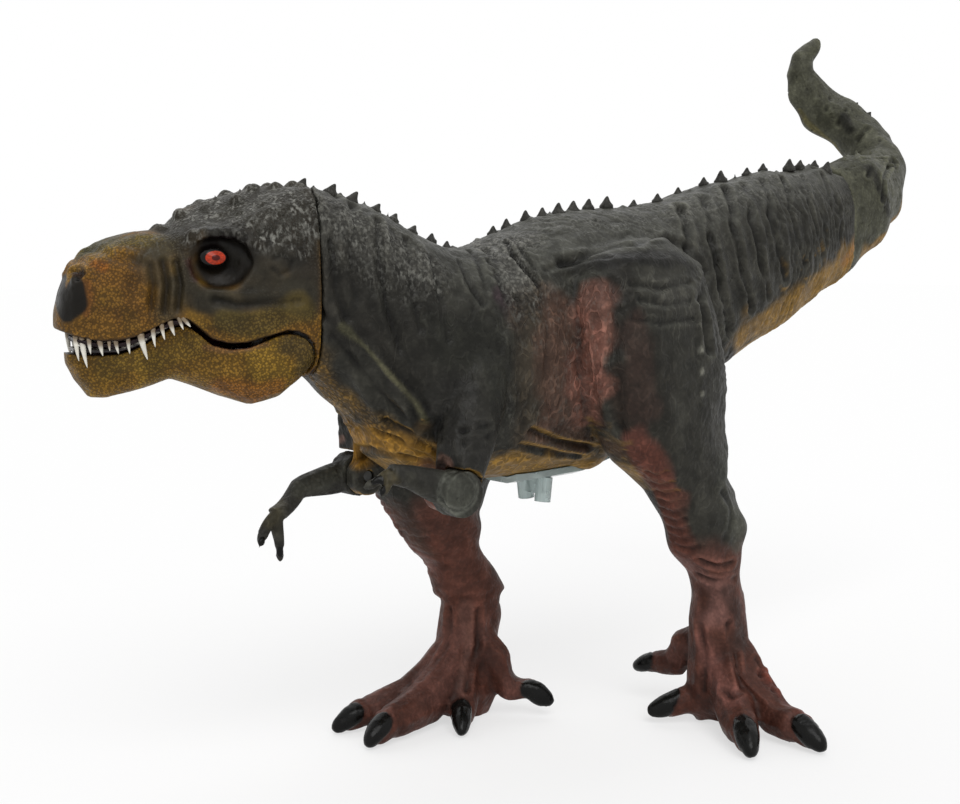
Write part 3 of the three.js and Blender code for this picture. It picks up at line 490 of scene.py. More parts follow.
class Skin:
    """A moulded skin: an even, smooth copy of one or more CAD nodes that is then sculpted and painted."""

    def __init__(self, nodes: tuple[str, ...], voxel: float, base: str, plane: Mirror, smoothing: int = 18,
                 crisp: float = 50.0) -> None:
        """Copies, evens out and smooths the nodes.

        Args:
            nodes: The CAD nodes that the skin stands for.
            voxel: Width of the skin's quads in millimetres.
            base: The first coat of paint.
            plane: The form's middle plane.
            smoothing: How many rounds of smoothing take the facets away.
            crisp: Edges sharper than this, in degrees, stay sharp where they meet another node.
        """
        self.nodes = nodes
        self.plane = plane
        swell = FUSE_SWELL * MM if len(nodes) > 1 else 0.0
        self.obj = fuse(nodes, "fused_skin" if len(nodes) > 1 else f"{nodes[0]}_skin", swell)
        edges = self._seam_points(math.radians(crisp))
        even_out(self.obj, voxel * MM)
        if "trunk_and_neck" in nodes:
            drop_lining(self.obj)
        self._read()
        self._smooth(smoothing, self._free(edges, EDGE_HOLD * MM))
        self._store()
        self.co -= self.normals * swell
        self.settle()
        self.paint = np.tile(ink(base), (len(self.co), 1))
        self.masks = {name: np.full(len(self.co), value)
                      for name, value in (("Grain", 0.6), ("Gloss", 0.0), ("Net", 0.0), ("Dust", 0.0))}

    def settle(self) -> None:
        """Writes the present shape down and makes it the one on which strokes are laid."""
        self._store()
        self.rest = self.co.copy()
        self.tree = BVHTree.FromPolygons(
            [Vector(p) for p in self.co], [tuple(f.vertices) for f in self.obj.data.polygons]
        )

    def _seam_points(self, angle: float) -> list[Vector]:
        """Points along sharp edges that lie against a CAD node outside this skin.

        Args:
            angle: The least angle of a sharp edge, in radians.

        Returns:
            Points about a millimetre apart.
        """
        left_out = (*self.nodes, "belly_support", "neck_plug", "jaw_pin", "tongue")
        others = [surface_of(obj) for name, obj in frame["nodes"].items() if name not in left_out]
        form = bmesh.new()
        form.from_mesh(self.obj.data)
        points = []
        for edge in form.edges:
            if len(edge.link_faces) == 2 and edge.calc_face_angle(0) > angle:
                steps = max(int(edge.calc_length() / MM), 1)
                a, b = (v.co for v in edge.verts)
                points.extend(a.lerp(b, i / steps) for i in range(steps + 1))
        form.free()
        return [p for p in points if any(tree.find_nearest(p, SEAM_REACH * MM)[0] for tree in others)]

    def _read(self) -> None:
        """Reads the mesh into arrays."""
        mesh = self.obj.data
        self.co = np.zeros(len(mesh.vertices) * 3)
        mesh.vertices.foreach_get("co", self.co)
        self.co = self.co.reshape(-1, 3)
        self.edges = np.zeros(len(mesh.edges) * 2, dtype=int)
        mesh.edges.foreach_get("vertices", self.edges)
        self.edges = self.edges.reshape(-1, 2)

    def _store(self) -> None:
        """Writes the places back and refreshes the normals."""
        mesh = self.obj.data
        mesh.vertices.foreach_set("co", self.co.ravel())
        mesh.update()
        self.normals = np.zeros(len(mesh.vertices) * 3)
        mesh.vertices.foreach_get("normal", self.normals)
        self.normals = self.normals.reshape(-1, 3)

    def _free(self, edges: list[Vector], reach: float) -> np.ndarray:
        """How freely each vertex may move: 0 on a sharp edge, 1 beyond its reach.

        Args:
            edges: Points along the sharp edges.
            reach: How far in metres an edge holds the skin.

        Returns:
            One grade a vertex.
        """
        if not edges:
            return np.ones(len(self.co))
        tree = KDTree(len(edges))
        for i, point in enumerate(edges):
            tree.insert(point, i)
        tree.balance()
        away = np.array([tree.find(Vector(p))[2] for p in self.co])
        return ease(away, 0, reach)

    def _relax(self, values: np.ndarray) -> np.ndarray:
        """The mean of each vertex's neighbours.

        Args:
            values: One row a vertex.

        Returns:
            The means, one row a vertex.
        """
        a, b = self.edges.T
        count = np.bincount(a, minlength=len(values)) + np.bincount(b, minlength=len(values))
        total = np.column_stack([
            np.bincount(a, values[b, k], len(values)) + np.bincount(b, values[a, k], len(values))
            for k in range(values.shape[1])
        ])
        return total / np.maximum(count, 1)[:, None]

    def _smooth(self, rounds: int, free: np.ndarray) -> None:
        """Smooths without shrinking, by steps in and out.

        Args:
            rounds: How many pairs of steps.
            free: How freely each vertex may move.
        """
        for _ in range(rounds):
            for step in (0.6, -0.62):
                self.co += step * free[:, None] * (self._relax(self.co) - self.co)

    def _relief(self, reach: int) -> np.ndarray:
        """How far in millimetres each vertex stands out of the shape that rounds of averaging leave.

        Args:
            reach: How many rounds of averaging.

        Returns:
            One height a vertex.
        """
        flat = self.co
        for _ in range(reach):
            flat = self._relax(flat)
        return np.einsum("ij,ij->i", self.co - flat, self.normals) / MM

    def soften(self, rounds: int, mask: np.ndarray | float = 1.0) -> None:
        """Takes the hardness off what was sculpted last, all over or where a mask says so."""
        for _ in range(rounds):
            self.co += 0.5 * mask * (self._relax(self.co) - self.co)

    def _from_elbows(self) -> np.ndarray:
        """Each vertex's distance from the nearer elbow, in millimetres."""
        return np.min([np.linalg.norm(self.rest - elbow, axis=1) for elbow in ELBOWS], axis=0) / MM

    def push(self, amount: np.ndarray) -> None:
        """Moves the surface along its normals, but never outward beside an elbow, where a forearm sweeps.

        Args:
            amount: Millimetres outward at each vertex.
        """
        room = ease(self._from_elbows(), *ELBOW_ROOM)
        amount = np.where(amount > 0, amount * room, amount)
        self.co += self.normals * (amount * MM)[:, None]

    def on_photo(self, path: Pixels) -> np.ndarray:
        """Finds where a line of pixels falls on this skin.

        Args:
            path: Pixels of the photograph.

        Returns:
            The places that are on the skin, one a row.
        """
        places = []
        eye = VIEW.eye()
        for u, v in path:
            hit = self.tree.ray_cast(eye, VIEW.ray(u, v))[0]
            if hit is None:
                away = VIEW.off_sight(self.rest, u, v)
                nearest = int(np.argmin(away))
                if away[nearest] > OFF_SKIN * MM:
                    continue
                hit = self.rest[nearest]
            places.append(tuple(hit))
        return np.array(places).reshape(-1, 3)

    def pull(self, *tugs: Pull) -> None:
        """Tugs the skin across the line of sight, so that its outline follows the photograph's.

        Args:
            tugs: Where, how far and over what reach; the skin never goes below the floor.
        """
        right, up, _ = VIEW.axes()
        eye = np.array(VIEW.eye())
        for tug in tugs:
            spots = self.on_photo((tug.at,))
            if not len(spots):
                LOG.warning("%s: nothing to pull at %s", self.obj.name, tug.at)
                continue
            away = np.linalg.norm(self.rest - spots[0], axis=1) / MM
            scale = np.linalg.norm(spots[0] - eye) / VIEW.focal
            shift = (np.array(right) * tug.by[0] - np.array(up) * tug.by[1]) * scale
            self.co += ease(away, tug.radius, 0.0)[:, None] * shift
        self.co[:, 2] = np.maximum(self.co[:, 2], np.minimum(self.rest[:, 2], FLOOR_GAP * MM))
        self.settle()

    def calm(self, path: Pixels, radius: float, rounds: int, twin: Twin = Twin.PLANE) -> None:
        """Smooths away a step or ledge near a drawn line.

        Args:
            path: Pixels of the photograph.
            radius: Reach in millimetres.
            rounds: Rounds of averaging.
            twin: Where else the line goes.
        """
        self.soften(rounds, self.near(path, radius, twin)[:, None])
        self.settle()

    def away_from(self, line: np.ndarray, nearest: bool = True) -> np.ndarray:
        """Each vertex's distance from a line of points, in millimetres.

        Args:
            line: The line's points, one a row.
            nearest: Whether the line is first laid on the surface.

        Returns:
            One distance a vertex.
        """
        if nearest:
            line = np.array([tuple(self.tree.find_nearest(Vector(p))[0]) for p in line])
        best = np.linalg.norm(self.rest - line[0], axis=1)
        for a, b in zip(line[:-1], line[1:]):
            along = b - a
            t = np.clip((self.rest - a) @ along / max(along @ along, 1e-12), 0, 1)
            best = np.minimum(best, np.linalg.norm(self.rest - a - t[:, None] * along, axis=1))
        return best / MM

    def distances(self, path: Pixels, twin: Twin) -> np.ndarray:
        """Distance from a drawn line and its twin, in millimetres.

        Args:
            path: Pixels of the photograph.
            twin: Where else the line goes.

        Returns:
            One distance a vertex.
        """
        line = self.on_photo(path)
        if not len(line):
            return np.full(len(self.co), 1e3)
        away = self.away_from(line)
        if twin is Twin.PLANE:
            away = np.minimum(away, self.away_from(self.plane.reflect(line)))
        elif twin is Twin.LEG:
            away = np.minimum(away, self.away_from(STRIDE.carry(line)))
        return away

    def crease(self, *folds: Crease) -> None:
        """Presses folds into the skin, each with a raised lip on both sides.

        Args:
            folds: The folds.
        """
        amount = np.zeros(len(self.co))
        rough = 1 + 0.35 * wander(self.rest, 5 * MM, 3.0)
        for fold in folds:
            t = self.distances(fold.path, fold.twin) / fold.width
            amount += rough * fold.depth * (fold.lip * np.exp(-((t - 1.7) ** 2) * 1.6) - np.exp(-t * t * 1.4))
        self.push(amount)

    def lump(self, path: Pixels, radius: float, height: float, twin: Twin = Twin.PLANE) -> None:
        """Raises a round swelling at each pixel of a path.

        Args:
            path: Pixels of the photograph.
            radius: Radius of a swelling in millimetres.
            height: How far it stands out in millimetres.
            twin: Where else the swellings go.
        """
        amount = np.zeros(len(self.co))
        for spot in path:
            away = self.distances((spot,), twin)
            amount = np.maximum(amount, height * np.clip(1 - (away / radius) ** 2, 0, 1) ** 1.5)
        self.push(amount)

    def within(self, centre: tuple[float, float, float], radii: tuple[float, float, float]) -> np.ndarray:
        """A soft egg-shaped area, from 1 at its centre to 0 at its rim, in millimetres."""
        span = (self.rest / MM - np.array(centre)) / np.array(radii)
        return ease(np.linalg.norm(span, axis=1), 1.0, 0.55)

    def wrinkle(self, *fields: Wrinkles) -> None:
        """Adds fields of parallel wrinkles that wander and fade.

        Args:
            fields: The fields.
        """
        amount = np.zeros(len(self.co))
        for area in fields:
            across = np.array(area.across) / np.linalg.norm(area.across)
            sway = wander(self.rest, area.spacing * 4 * MM, area.seed)
            fine = wander(self.rest, area.spacing * 1.3 * MM, area.seed + 5)
            phase = (self.rest @ across) / (area.spacing * MM) + area.unrest * sway + 0.35 * fine
            wave = 1 - 2 * np.abs(np.sin(math.pi * phase)) ** 0.7
            fade = 0.6 + 0.6 * wander(self.rest, area.spacing * 3 * MM, area.seed + 9)
            amount -= area.depth * wave * np.clip(fade, 0, 1) * self.within(area.centre, area.radii)
        self.push(amount)

    def rumple(self, size: float, depth: float, mask: np.ndarray | float = 1.0, seed: float = 2.0) -> None:
        """Adds an irregular net of small creases.

        Args:
            size: Breadth of the net's meshes in millimetres.
            depth: Depth in millimetres.
            mask: Where the net lies.
            seed: Shifts the pattern.
        """
        coarse, fine = wander(self.rest, size * MM, seed), wander(self.rest, size * 0.5 * MM, seed + 4)
        self.push(-depth * mask * ease(np.abs(coarse) + 0.5 * np.abs(fine), 0.28, 0.0))

    def away_from_photo_line(self, path: Pixels) -> np.ndarray:
        """Each vertex's distance from the outline points that lie under a line of pixels."""
        spots = [self.rest[int(np.argmin(VIEW.off_sight(self.rest, u, v)))] for u, v in path]
        return self.away_from(np.array(spots), nearest=False)

    def shave(self, mask: np.ndarray, proud: float) -> None:
        """Takes down what stands out of the smooth form.

        Args:
            mask: Where the shaving is done.
            proud: How far in millimetres a vertex may still stand out.
        """
        over = np.where(mask, np.clip(self._relief(SHAVE_REACH) - proud, 0, None), 0)
        self.push(-over)
        self.soften(SHAVE_CALM, mask[:, None])
        self.settle()

    def hold(self, node: str, gap: float = 1.5) -> None:
        """Lays the skin back on the CAD surface close to an elbow, so that the forearm turns freely.

        Args:
            node: The CAD node that gives the surface.
            gap: How far in millimetres a vertex may be from that surface and still be laid on it.
        """
        tree = surface_of(frame["nodes"][node])
        for i in np.flatnonzero(self._from_elbows() < ELBOW_ROOM[1]):
            point = Vector(self.co[i])
            place, normal, _, distance = tree.find_nearest(point)
            if (point - place).dot(normal) > 0 and distance < gap * MM:
                self.co[i] = place
        self._store()

    def mark(self, name: str, mask: np.ndarray | float, value: float) -> None:
        """Moves one of the finish's masks toward a value where another mask says so."""
        cover = np.clip(mask, 0, 1)
        self.masks[name] = self.masks[name] * (1 - cover) + value * cover

    def near(self, path: Pixels, radius: float, twin: Twin = Twin.PLANE) -> np.ndarray:
        """A soft mask round a drawn line, 1 on the line and 0 beyond the radius in millimetres."""
        return ease(self.distances(path, twin), radius * 1.25, radius * 0.45)

    def claw(self, path: Pixels, radius: float, colour: str) -> None:
        """Paints a claw glossy and dark, with a small groove where it leaves the toe.

        Args:
            path: Pixels along the claw.
            radius: Reach of the paint in millimetres.
            colour: The claw's colour.
        """
        line = self.on_photo(path)
        if not len(line):
            LOG.warning("%s: no claw at %s", self.obj.name, path)
            return
        away = self.away_from(line, nearest=False)
        mask = ease(away, radius * 1.08, radius * 0.94)
        self.coat(mask, colour)
        self.mark("Grain", mask, 0.0)
        self.mark("Net", mask, 0.0)
        self.mark("Gloss", mask, 1.0)
        self.push(-0.35 * np.exp(-((away - radius * 1.1) / 0.5) ** 2))

    def root_depth(self, pointing: float) -> np.ndarray:
        """How far each vertex stands from the row's gum, in millimetres.

        Args:
            pointing: 1 where the teeth point up and -1 where they hang.

        Returns:
            One depth a vertex.
        """
        local = self.plane.local(self.rest)
        steps = np.round(local[:, 0] / (1.5 * MM)).astype(int)
        gum = np.zeros(len(steps))
        for step in np.unique(steps):
            here = steps == step
            base = (local[here, 2] * -pointing).max()
            gum[here] = base - local[here, 2] * -pointing
        return gum / MM

    def coat(self, mask: np.ndarray, colour: str, strength: float = 1.0) -> None:
        """Paints a colour over the skin.

        Args:
            mask: Where it goes, from 0 to 1 at each vertex.
            colour: The colour's code.
            strength: How much it covers.
        """
        cover = np.clip(mask * strength, 0, 1)[:, None]
        self.paint = self.paint * (1 - cover) + ink(colour) * cover

    def spray(self, *strokes: Spray) -> None:
        """Sprays soft strokes of paint, with a rough edge.

        Args:
            strokes: The strokes, in the order in which they are laid.
        """
        edge = 1 + 0.3 * wander(self.rest, 6 * MM, 11.0)
        for stroke in strokes:
            away = self.distances(stroke.path, stroke.twin)
            if stroke.firm:
                cover = ease(away, stroke.radius * 1.12, stroke.radius * 0.86)
            else:
                cover = ease(away * edge, stroke.radius * 1.25, stroke.radius * 0.45)
            self.coat(cover, stroke.colour, stroke.strength)

    def shade_relief(self, dark: float = 0.35, light: float = 0.25, reach: int = 6) -> None:
        """Darkens the hollows as painted shade and lightens the ridges as painted highlight, partly standing
        for a painted toy's wash and dry-brush.

        Args:
            dark: How far the painted shade darkens hollows.
            light: How far the painted highlight lightens ridges.
            reach: How many rounds of averaging set the scale of a hollow.
        """
        self._store()
        height = self._relief(reach)
        height /= max(np.percentile(np.abs(height), 97), 1e-6)
        # Painted shade in the hollows and painted highlight on the ridges, by the relief's height.
        factor = 1 - dark * ease(-height, 0.1, 1.2) + light * ease(height, 0.15, 1.2)
        self.paint = np.clip(self.paint * factor[:, None], 0, 1)

    def done(self, body: "Body", finish: Finish) -> Piece:
        """Stores shape and paint, and hands a skin of one node to its body.

        Args:
            body: The CAD body that it rides on.
            finish: The skin's material.

        Returns:
            The finished object.
        """
        self._store()
        self._dress(self.obj, np.arange(len(self.co)), body, finish, self.nodes)
        return self.obj

    def _dress(self, obj: Piece, picked: np.ndarray, body: "Body",
               finish: Finish, nodes: tuple[str, ...]) -> None:
        """Gives an object its attributes, material and body, and hides the CAD nodes that it replaces.

        Args:
            obj: The object, whose vertices are some of the skin's.
            picked: The skin's vertex for each of the object's.
            body: The CAD body that it rides on.
            finish: The material.
            nodes: The CAD nodes that it replaces.
        """
        mesh = obj.data
        colours = mesh.color_attributes.new("Paint", "FLOAT_COLOR", "POINT")
        opaque = np.column_stack([self.paint, np.ones(len(self.paint))])
        colours.data.foreach_set("color", opaque[picked].ravel())
        for name, values in self.masks.items():
            mesh.attributes.new(name, "FLOAT", "POINT").data.foreach_set("value", values[picked])
        choose(obj)
        bpy.ops.object.shade_smooth()
        mesh.materials.append(finish)
        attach(obj, body.value)
        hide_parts(*nodes)
        LOG.info("%s: %d faces", obj.name, len(mesh.polygons))

    def done_by_node(self, body: "Body", finish: Finish) -> None:
        """Parts a fused skin along its nodes' borders into closed pieces that still shade as one.

        Args:
            body: The CAD body that the pieces ride on.
            finish: The skin's material.
        """
        self._store()
        scores = []
        for node in self.nodes:
            tree = surface_of(frame["nodes"][node])
            scores.append([tree.find_nearest(Vector(p))[3] for p in self.rest])
        scores = np.array(scores).T
        for _ in range(BORDER_ROUNDS):
            scores = 0.5 * scores + 0.5 * self._relax(scores)
        faces = [tuple(f.vertices) for f in self.obj.data.polygons]
        labels = np.array([int(np.argmin(scores[list(f)].sum(axis=0))) for f in faces])
        for k, node in enumerate(self.nodes):
            own = [f for f, label in zip(faces, labels) if label == k]
            self._piece(node, own, body, finish)
        bpy.data.objects.remove(self.obj)

    def _piece(self, node: str, faces: list[tuple[int, ...]], body: "Body",
               finish: Finish) -> None:
        """Makes one closed piece from some of the skin's faces.

        Args:
            node: The CAD node that it replaces.
            faces: The faces, by the skin's vertices.
            body: The CAD body that it rides on.
            finish: Its material.
        """
        picked = np.unique([v for f in faces for v in f])
        index = {int(v): i for i, v in enumerate(picked)}
        own = [tuple(index[v] for v in f) for f in faces]
        places = [tuple(p) for p in self.co[picked]]
        normals = [tuple(n) for n in self.normals[picked]]
        picked = picked.tolist()
        for loop in border_loops(own):
            middle = np.mean([places[i] for i in loop], axis=0)
            inward = np.mean([normals[i] for i in loop], axis=0)
            places.append(tuple(middle - inward * (CAP_DEPTH * MM)))
            normals.append((0.0, 0.0, 1.0))
            picked.append(picked[loop[0]])
            own.extend((b, a, len(places) - 1) for a, b in zip(loop, loop[1:] + loop[:1]))
        mesh = bpy.data.meshes.new(f"{node}_skin")
        mesh.from_pydata(places, [], own)
        mesh.update()
        obj = bpy.data.objects.new(f"{node}_skin", mesh)
        bpy.context.scene.collection.objects.link(obj)
        self._dress(obj, np.array(picked), body, finish, (node,))
        mesh.normals_split_custom_set_from_vertices(normals)


def border_loops(faces: list[tuple[int, ...]]) -> list[list[int]]:
    """Finds the open borders of some faces.

    Args:
        faces: The faces, by vertex.

    Returns:
        Each border's vertices, in the order in which its faces pass them.
    """
    sides = {(a, b) for f in faces for a, b in zip(f, f[1:] + f[:1])}
    ahead: dict[int, list[int]] = {}
    for a, b in sides:
        if (b, a) not in sides:
            ahead.setdefault(a, []).append(b)
    loops = []
    while ahead:
        start = next(iter(ahead))
        loop = [start]
        while True:
            options = ahead[loop[-1]]
            following = options.pop()
            if not options:
                del ahead[loop[-1]]
            if following == start:
                break
            loop.append(following)
        loops.append(loop)
    return [loop for loop in loops if len(loop) > 2]


class NodeBench:
    """Builds one material's nodes with few words."""

    def __init__(self, name: str) -> None:
        """Starts a material with a lone principled shader.

        Args:
            name: The material's name.
        """
        self.material = bpy.data.materials.new(name)
        self.material.use_nodes = True
        self.tree = self.material.node_tree
        self.shader = self.tree.nodes["Principled BSDF"]

    def add(self, kind: str, **settings: object) -> bpy.types.Node:
        """Adds a node; settings that it lacks are its inputs' values.

        Args:
            kind: The node's type.
            settings: Settings, or values of inputs, by name.

        Returns:
            The node.
        """
        node = self.tree.nodes.new(kind)
        for name, value in settings.items():
            if hasattr(node, name):
                setattr(node, name, value)
            else:
                node.inputs[name.replace("_", " ")].default_value = value
        return node

    def link(self, output: Socket, target: Socket) -> None:
        """Joins two sockets."""
        self.tree.links.new(output, target)

    def place(self) -> Socket:
        """The place on the object."""
        return self.add("ShaderNodeTexCoord").outputs["Object"]

    def voronoi(self, place: Socket, scale: float, feature: str = "F1") -> Socket:
        """Distance to the nearest of scattered points, or to the border between them.

        Args:
            place: Places on the object.
            scale: Points in a metre.
            feature: Which distance.

        Returns:
            The distance.
        """
        node = self.add("ShaderNodeTexVoronoi", feature=feature, Scale=scale)
        self.link(place, node.inputs["Vector"])
        return node.outputs["Distance"]

    def cloud(self, place: Socket, scale: float, detail: float = 3.0) -> Socket:
        """Noise from 0 to 1.

        Args:
            place: Places on the object.
            scale: Waves in a metre.
            detail: How many finer layers.

        Returns:
            The noise.
        """
        node = self.add("ShaderNodeTexNoise", Scale=scale, Detail=detail)
        self.link(place, node.inputs["Vector"])
        return node.outputs["Fac"]

    def graded(self, value: Socket, low: float, high: float, to_low: float,
               to_high: float) -> Socket:
        """Maps one span of values to another, smoothly.

        Args:
            value: The value.
            low: Where its span starts.
            high: Where its span ends.
            to_low: The result at low.
            to_high: The result at high.

        Returns:
            The result.
        """
        node = self.add("ShaderNodeMapRange", interpolation_type="SMOOTHSTEP")
        for name, number in zip(("From Min", "From Max", "To Min", "To Max"), (low, high, to_low, to_high)):
            node.inputs[name].default_value = number
        self.link(value, node.inputs["Value"])
        return node.outputs["Result"]

    def math(self, kind: str, a: Socket, b: Socket | float) -> Socket:
        """Works out a value from one or two others.

        Args:
            kind: The operation.
            a: The first value.
            b: The second value.

        Returns:
            The result.
        """
        node = self.add("ShaderNodeMath", operation=kind)
        self.link(a, node.inputs[0])
        if isinstance(b, (int, float)):
            node.inputs[1].default_value = b
        else:
            self.link(b, node.inputs[1])
        return node.outputs[0]

    def tint(self, colour: Socket, factor: Socket) -> Socket:
        """Multiplies a colour by a value.

        Args:
            colour: The colour.
            factor: The value.

        Returns:
            The new colour.
        """
        node = self.add("ShaderNodeVectorMath", operation="SCALE")
        self.link(colour, node.inputs[0])
        self.link(factor, node.inputs["Scale"])
        return node.outputs[0]

    def paint(self) -> Socket:
        """The skin's stored paint."""
        return self.add("ShaderNodeAttribute", attribute_name="Paint").outputs["Color"]

    def stretched(self, place: Socket, tall: float) -> Socket:
        """Scales the heights of places, so that a pattern on them runs up and down.

        Args:
            place: Places on the object.
            tall: The factor for heights.

        Returns:
            The scaled places.
        """
        node = self.add("ShaderNodeMapping")
        node.inputs["Scale"].default_value = (1.0, 1.0, tall)
        self.link(place, node.inputs["Vector"])
        return node.outputs["Vector"]

    def bump(self, height: Socket, distance: float, strength: float = 1.0) -> None:
        """Gives the shader a fine relief.

        Args:
            height: The relief's height.
            distance: What a height of 1 is, in metres.
            strength: How much of it shows.
        """
        node = self.add("ShaderNodeBump", Distance=distance, Strength=strength)
        self.link(height, node.inputs["Height"])
        self.link(node.outputs["Normal"], self.shader.inputs["Normal"])

    def mask(self, name: str) -> Socket:
        """One of the skin's stored masks."""
        return self.add("ShaderNodeAttribute", attribute_name=name).outputs["Fac"]

    def mixed(self, factor: Socket, colour: Socket, other: str) -> Socket:
        """Goes from a colour to a written one as the factor goes from 0 to 1.

        Args:
            factor: The factor.
            colour: The colour at 0.
            other: The code at 1.

        Returns:
            The mixed colour.
        """
        node = self.add("ShaderNodeMix", data_type="RGBA")
        self.link(factor, node.inputs[0])
        self.link(colour, node.inputs[6])
        node.inputs[7].default_value = (*ink(other), 1)
        return node.outputs[2]

    def stirred(self, place: Socket, scale: float, amount: float) -> Socket:
        """Shifts places by noise, so that a pattern on them wanders.

        Args:
            place: The places.
            scale: The noise's scale.
            amount: How far a place may shift, in metres.

        Returns:
            The shifted places.
        """
        swirl = self.add("ShaderNodeTexNoise", Scale=scale, Detail=1.0)
        self.link(place, swirl.inputs["Vector"])
        drift = self.add("ShaderNodeVectorMath", operation="MULTIPLY_ADD")
        self.link(swirl.outputs["Color"], drift.inputs[0])
        drift.inputs[1].default_value = (amount,) * 3
        self.link(place, drift.inputs[2])
        return drift.outputs[0]


@dataclass(frozen=True)
class SkinFinish:
    """Painted vinyl with pebbles, a net of worm-like ridges and dry-brushed dust, with painted highlight on
    pebble tops and ridges and painted shade in the gaps.

    Pebble, net and relief are in millimetres. Mottle, wear and grit are waves of noise in a metre.
    """

    name: str
    pebble: float = 1.1
    net: float = 2.3
    relief: float = 0.26
    # How far the gaps between pebbles are painted toward the gap colour: painted shade, partly a wash.
    gap_shade: float = 0.55
    # How much lighter the pebble tops are painted: partly dry-brush, partly painted highlight.
    lift: float = 0.3
    roughness: float = 0.5
    specular: float = 0.14
    # The colour of the painted shade in the gaps between pebbles.
    gap: str = "12110d"
    dust: str = "83827b"
    rub: float = 0.6
    mottle: float = 200.0
    wear: float = 420.0
    grit: float = 700.0
    raise_by: float = 0.6
    polish: float = 0.28

    def build(self) -> Finish:
        """Makes the material.

        Returns:
            A material that reads the skin's Paint, Grain, Net, Dust and Gloss attributes.
        """
        bench = NodeBench(self.name)
        paint = bench.paint()
        grain, net, dust, gloss = (bench.mask(name) for name in ("Grain", "Net", "Dust", "Gloss"))
        place = bench.place()
        domes = self._domes(bench, place)
        worms = self._worms(bench, place)
        patch = bench.graded(bench.cloud(place, self.mottle, 6.0), 0.3, 0.7, 0.7, 1.3)
        grained = bench.math("MULTIPLY", domes, grain)
        # Pebble tops painted lighter: partly dry-brush, partly painted highlight.
        raised = bench.math("ADD", bench.math("MULTIPLY", grained, self.lift), 1.0)
        colour = bench.tint(paint, bench.math("MULTIPLY", patch, raised))
        # Gaps between pebbles painted darker toward the gap colour: painted shade, partly a wash.
        hollow = bench.math("MULTIPLY", bench.graded(domes, 0.0, 0.5, self.gap_shade, 0.0), grain)
        colour = bench.mixed(hollow, colour, self.gap)
        # Worm-like ridges painted lighter and the skin between them darker: partly dry-brush, partly painted
        # highlight and painted shade.
        ridge_shade_and_highlight = bench.math("MULTIPLY", bench.graded(worms, 0.0, 1.0, -0.3, 0.6), net)
        colour = bench.tint(colour, bench.math("ADD", ridge_shade_and_highlight, 1.0))
        rubbed = bench.math("MULTIPLY", self._scuffs(bench, place), dust)
        colour = bench.mixed(bench.math("MULTIPLY", rubbed, self.rub), colour, self.dust)
        bench.link(colour, bench.shader.inputs["Base Color"])
        height = bench.math("ADD", grained, bench.math("MULTIPLY", worms, net))
        for layer in (rubbed, bench.cloud(place, self.grit, 4.0)):
            height = bench.math("ADD", height, bench.math("MULTIPLY", layer, self.raise_by))
        bench.bump(height, self.relief * MM)
        low, high = self.roughness - 0.07, self.roughness + 0.1
        wear = bench.graded(bench.cloud(place, self.wear, 3.0), 0.3, 0.7, low, high)
        polish = bench.math("SUBTRACT", wear, bench.math("MULTIPLY", gloss, self.polish))
        bench.link(polish, bench.shader.inputs["Roughness"])
        bench.shader.inputs["Specular IOR Level"].default_value = self.specular
        return bench.material

    def _domes(self, bench: NodeBench, place: Socket) -> Socket:
        """Round pebbles of uneven size, 1 at their tops and 0 in the gaps.

        Args:
            bench: The material's nodes.
            place: Places on the object.

        Returns:
            The pebbles' height.
        """
        moved = bench.stirred(place, 0.3 / (self.pebble * MM), 0.3 * self.pebble * MM)
        coarse = bench.graded(bench.voronoi(moved, 1 / (self.pebble * MM)), 0.18, 0.62, 1.0, 0.0)
        fine = bench.graded(bench.voronoi(moved, 1.7 / (self.pebble * MM)), 0.1, 0.65, 1.0, 0.0)
        return bench.math("ADD", bench.math("MULTIPLY", coarse, 0.8), bench.math("MULTIPLY", fine, 0.2))

    def _scuffs(self, bench: NodeBench, place: Socket) -> Socket:
        """Uneven dry-brushed streaks, 1 where the brush caught the grain.

        Args:
            bench: The material's nodes.
            place: Places on the object.

        Returns:
            How much of the brush's paint shows.
        """
        caught = bench.graded(bench.cloud(bench.stretched(place, 0.5), 1300.0, 4.0), 0.44, 0.68, 0.0, 1.0)
        swept = bench.graded(bench.cloud(place, 330.0, 4.0), 0.36, 0.64, 0.1, 1.0)
        return bench.math("MULTIPLY", caught, swept)

    def _worms(self, bench: NodeBench, place: Socket) -> Socket:
        """Thin winding ridges that break off and join, 1 along their tops and 0 between them.

        Args:
            bench: The material's nodes.
            place: Places on the object.

        Returns:
            The ridges' height.
        """
        hills = bench.cloud(bench.stretched(place, 0.6), 0.42 / (self.net * MM), 2.0)
        wave = bench.math("SINE", bench.math("MULTIPLY", hills, 44.0), 0.0)
        broken = bench.graded(bench.cloud(place, 0.7 / (self.net * MM), 2.0), 0.36, 0.6, 0.25, 1.0)
        return bench.math("MULTIPLY", bench.graded(wave, 0.1, 0.95, 0.0, 1.0), broken)


@dataclass(frozen=True)
class MouldedFinish:
    """Plain moulded plastic with faint flow marks, for pins and plugs."""

    name: str
    colour: str
    roughness: float = 0.4

    def build(self) -> Finish:
        """Makes the material.

        Returns:
            The material.
        """
        bench = NodeBench(self.name)
        place = bench.place()
        flow = bench.graded(bench.cloud(place, 300.0, 5.0), 0.3, 0.7, 0.8, 1.2)
        colour = bench.add("ShaderNodeRGB")
        colour.outputs[0].default_value = (*ink(self.colour), 1)
        bench.link(bench.tint(colour.outputs[0], flow), bench.shader.inputs["Base Color"])
        low, high = self.roughness - 0.08, self.roughness + 0.1
        rough = bench.graded(bench.cloud(place, 900.0, 2.0), 0.3, 0.7, low, high)
        bench.link(rough, bench.shader.inputs["Roughness"])
        bench.bump(bench.cloud(place, 1500.0, 2.0), 0.03 * MM, 0.6)
        return bench.material


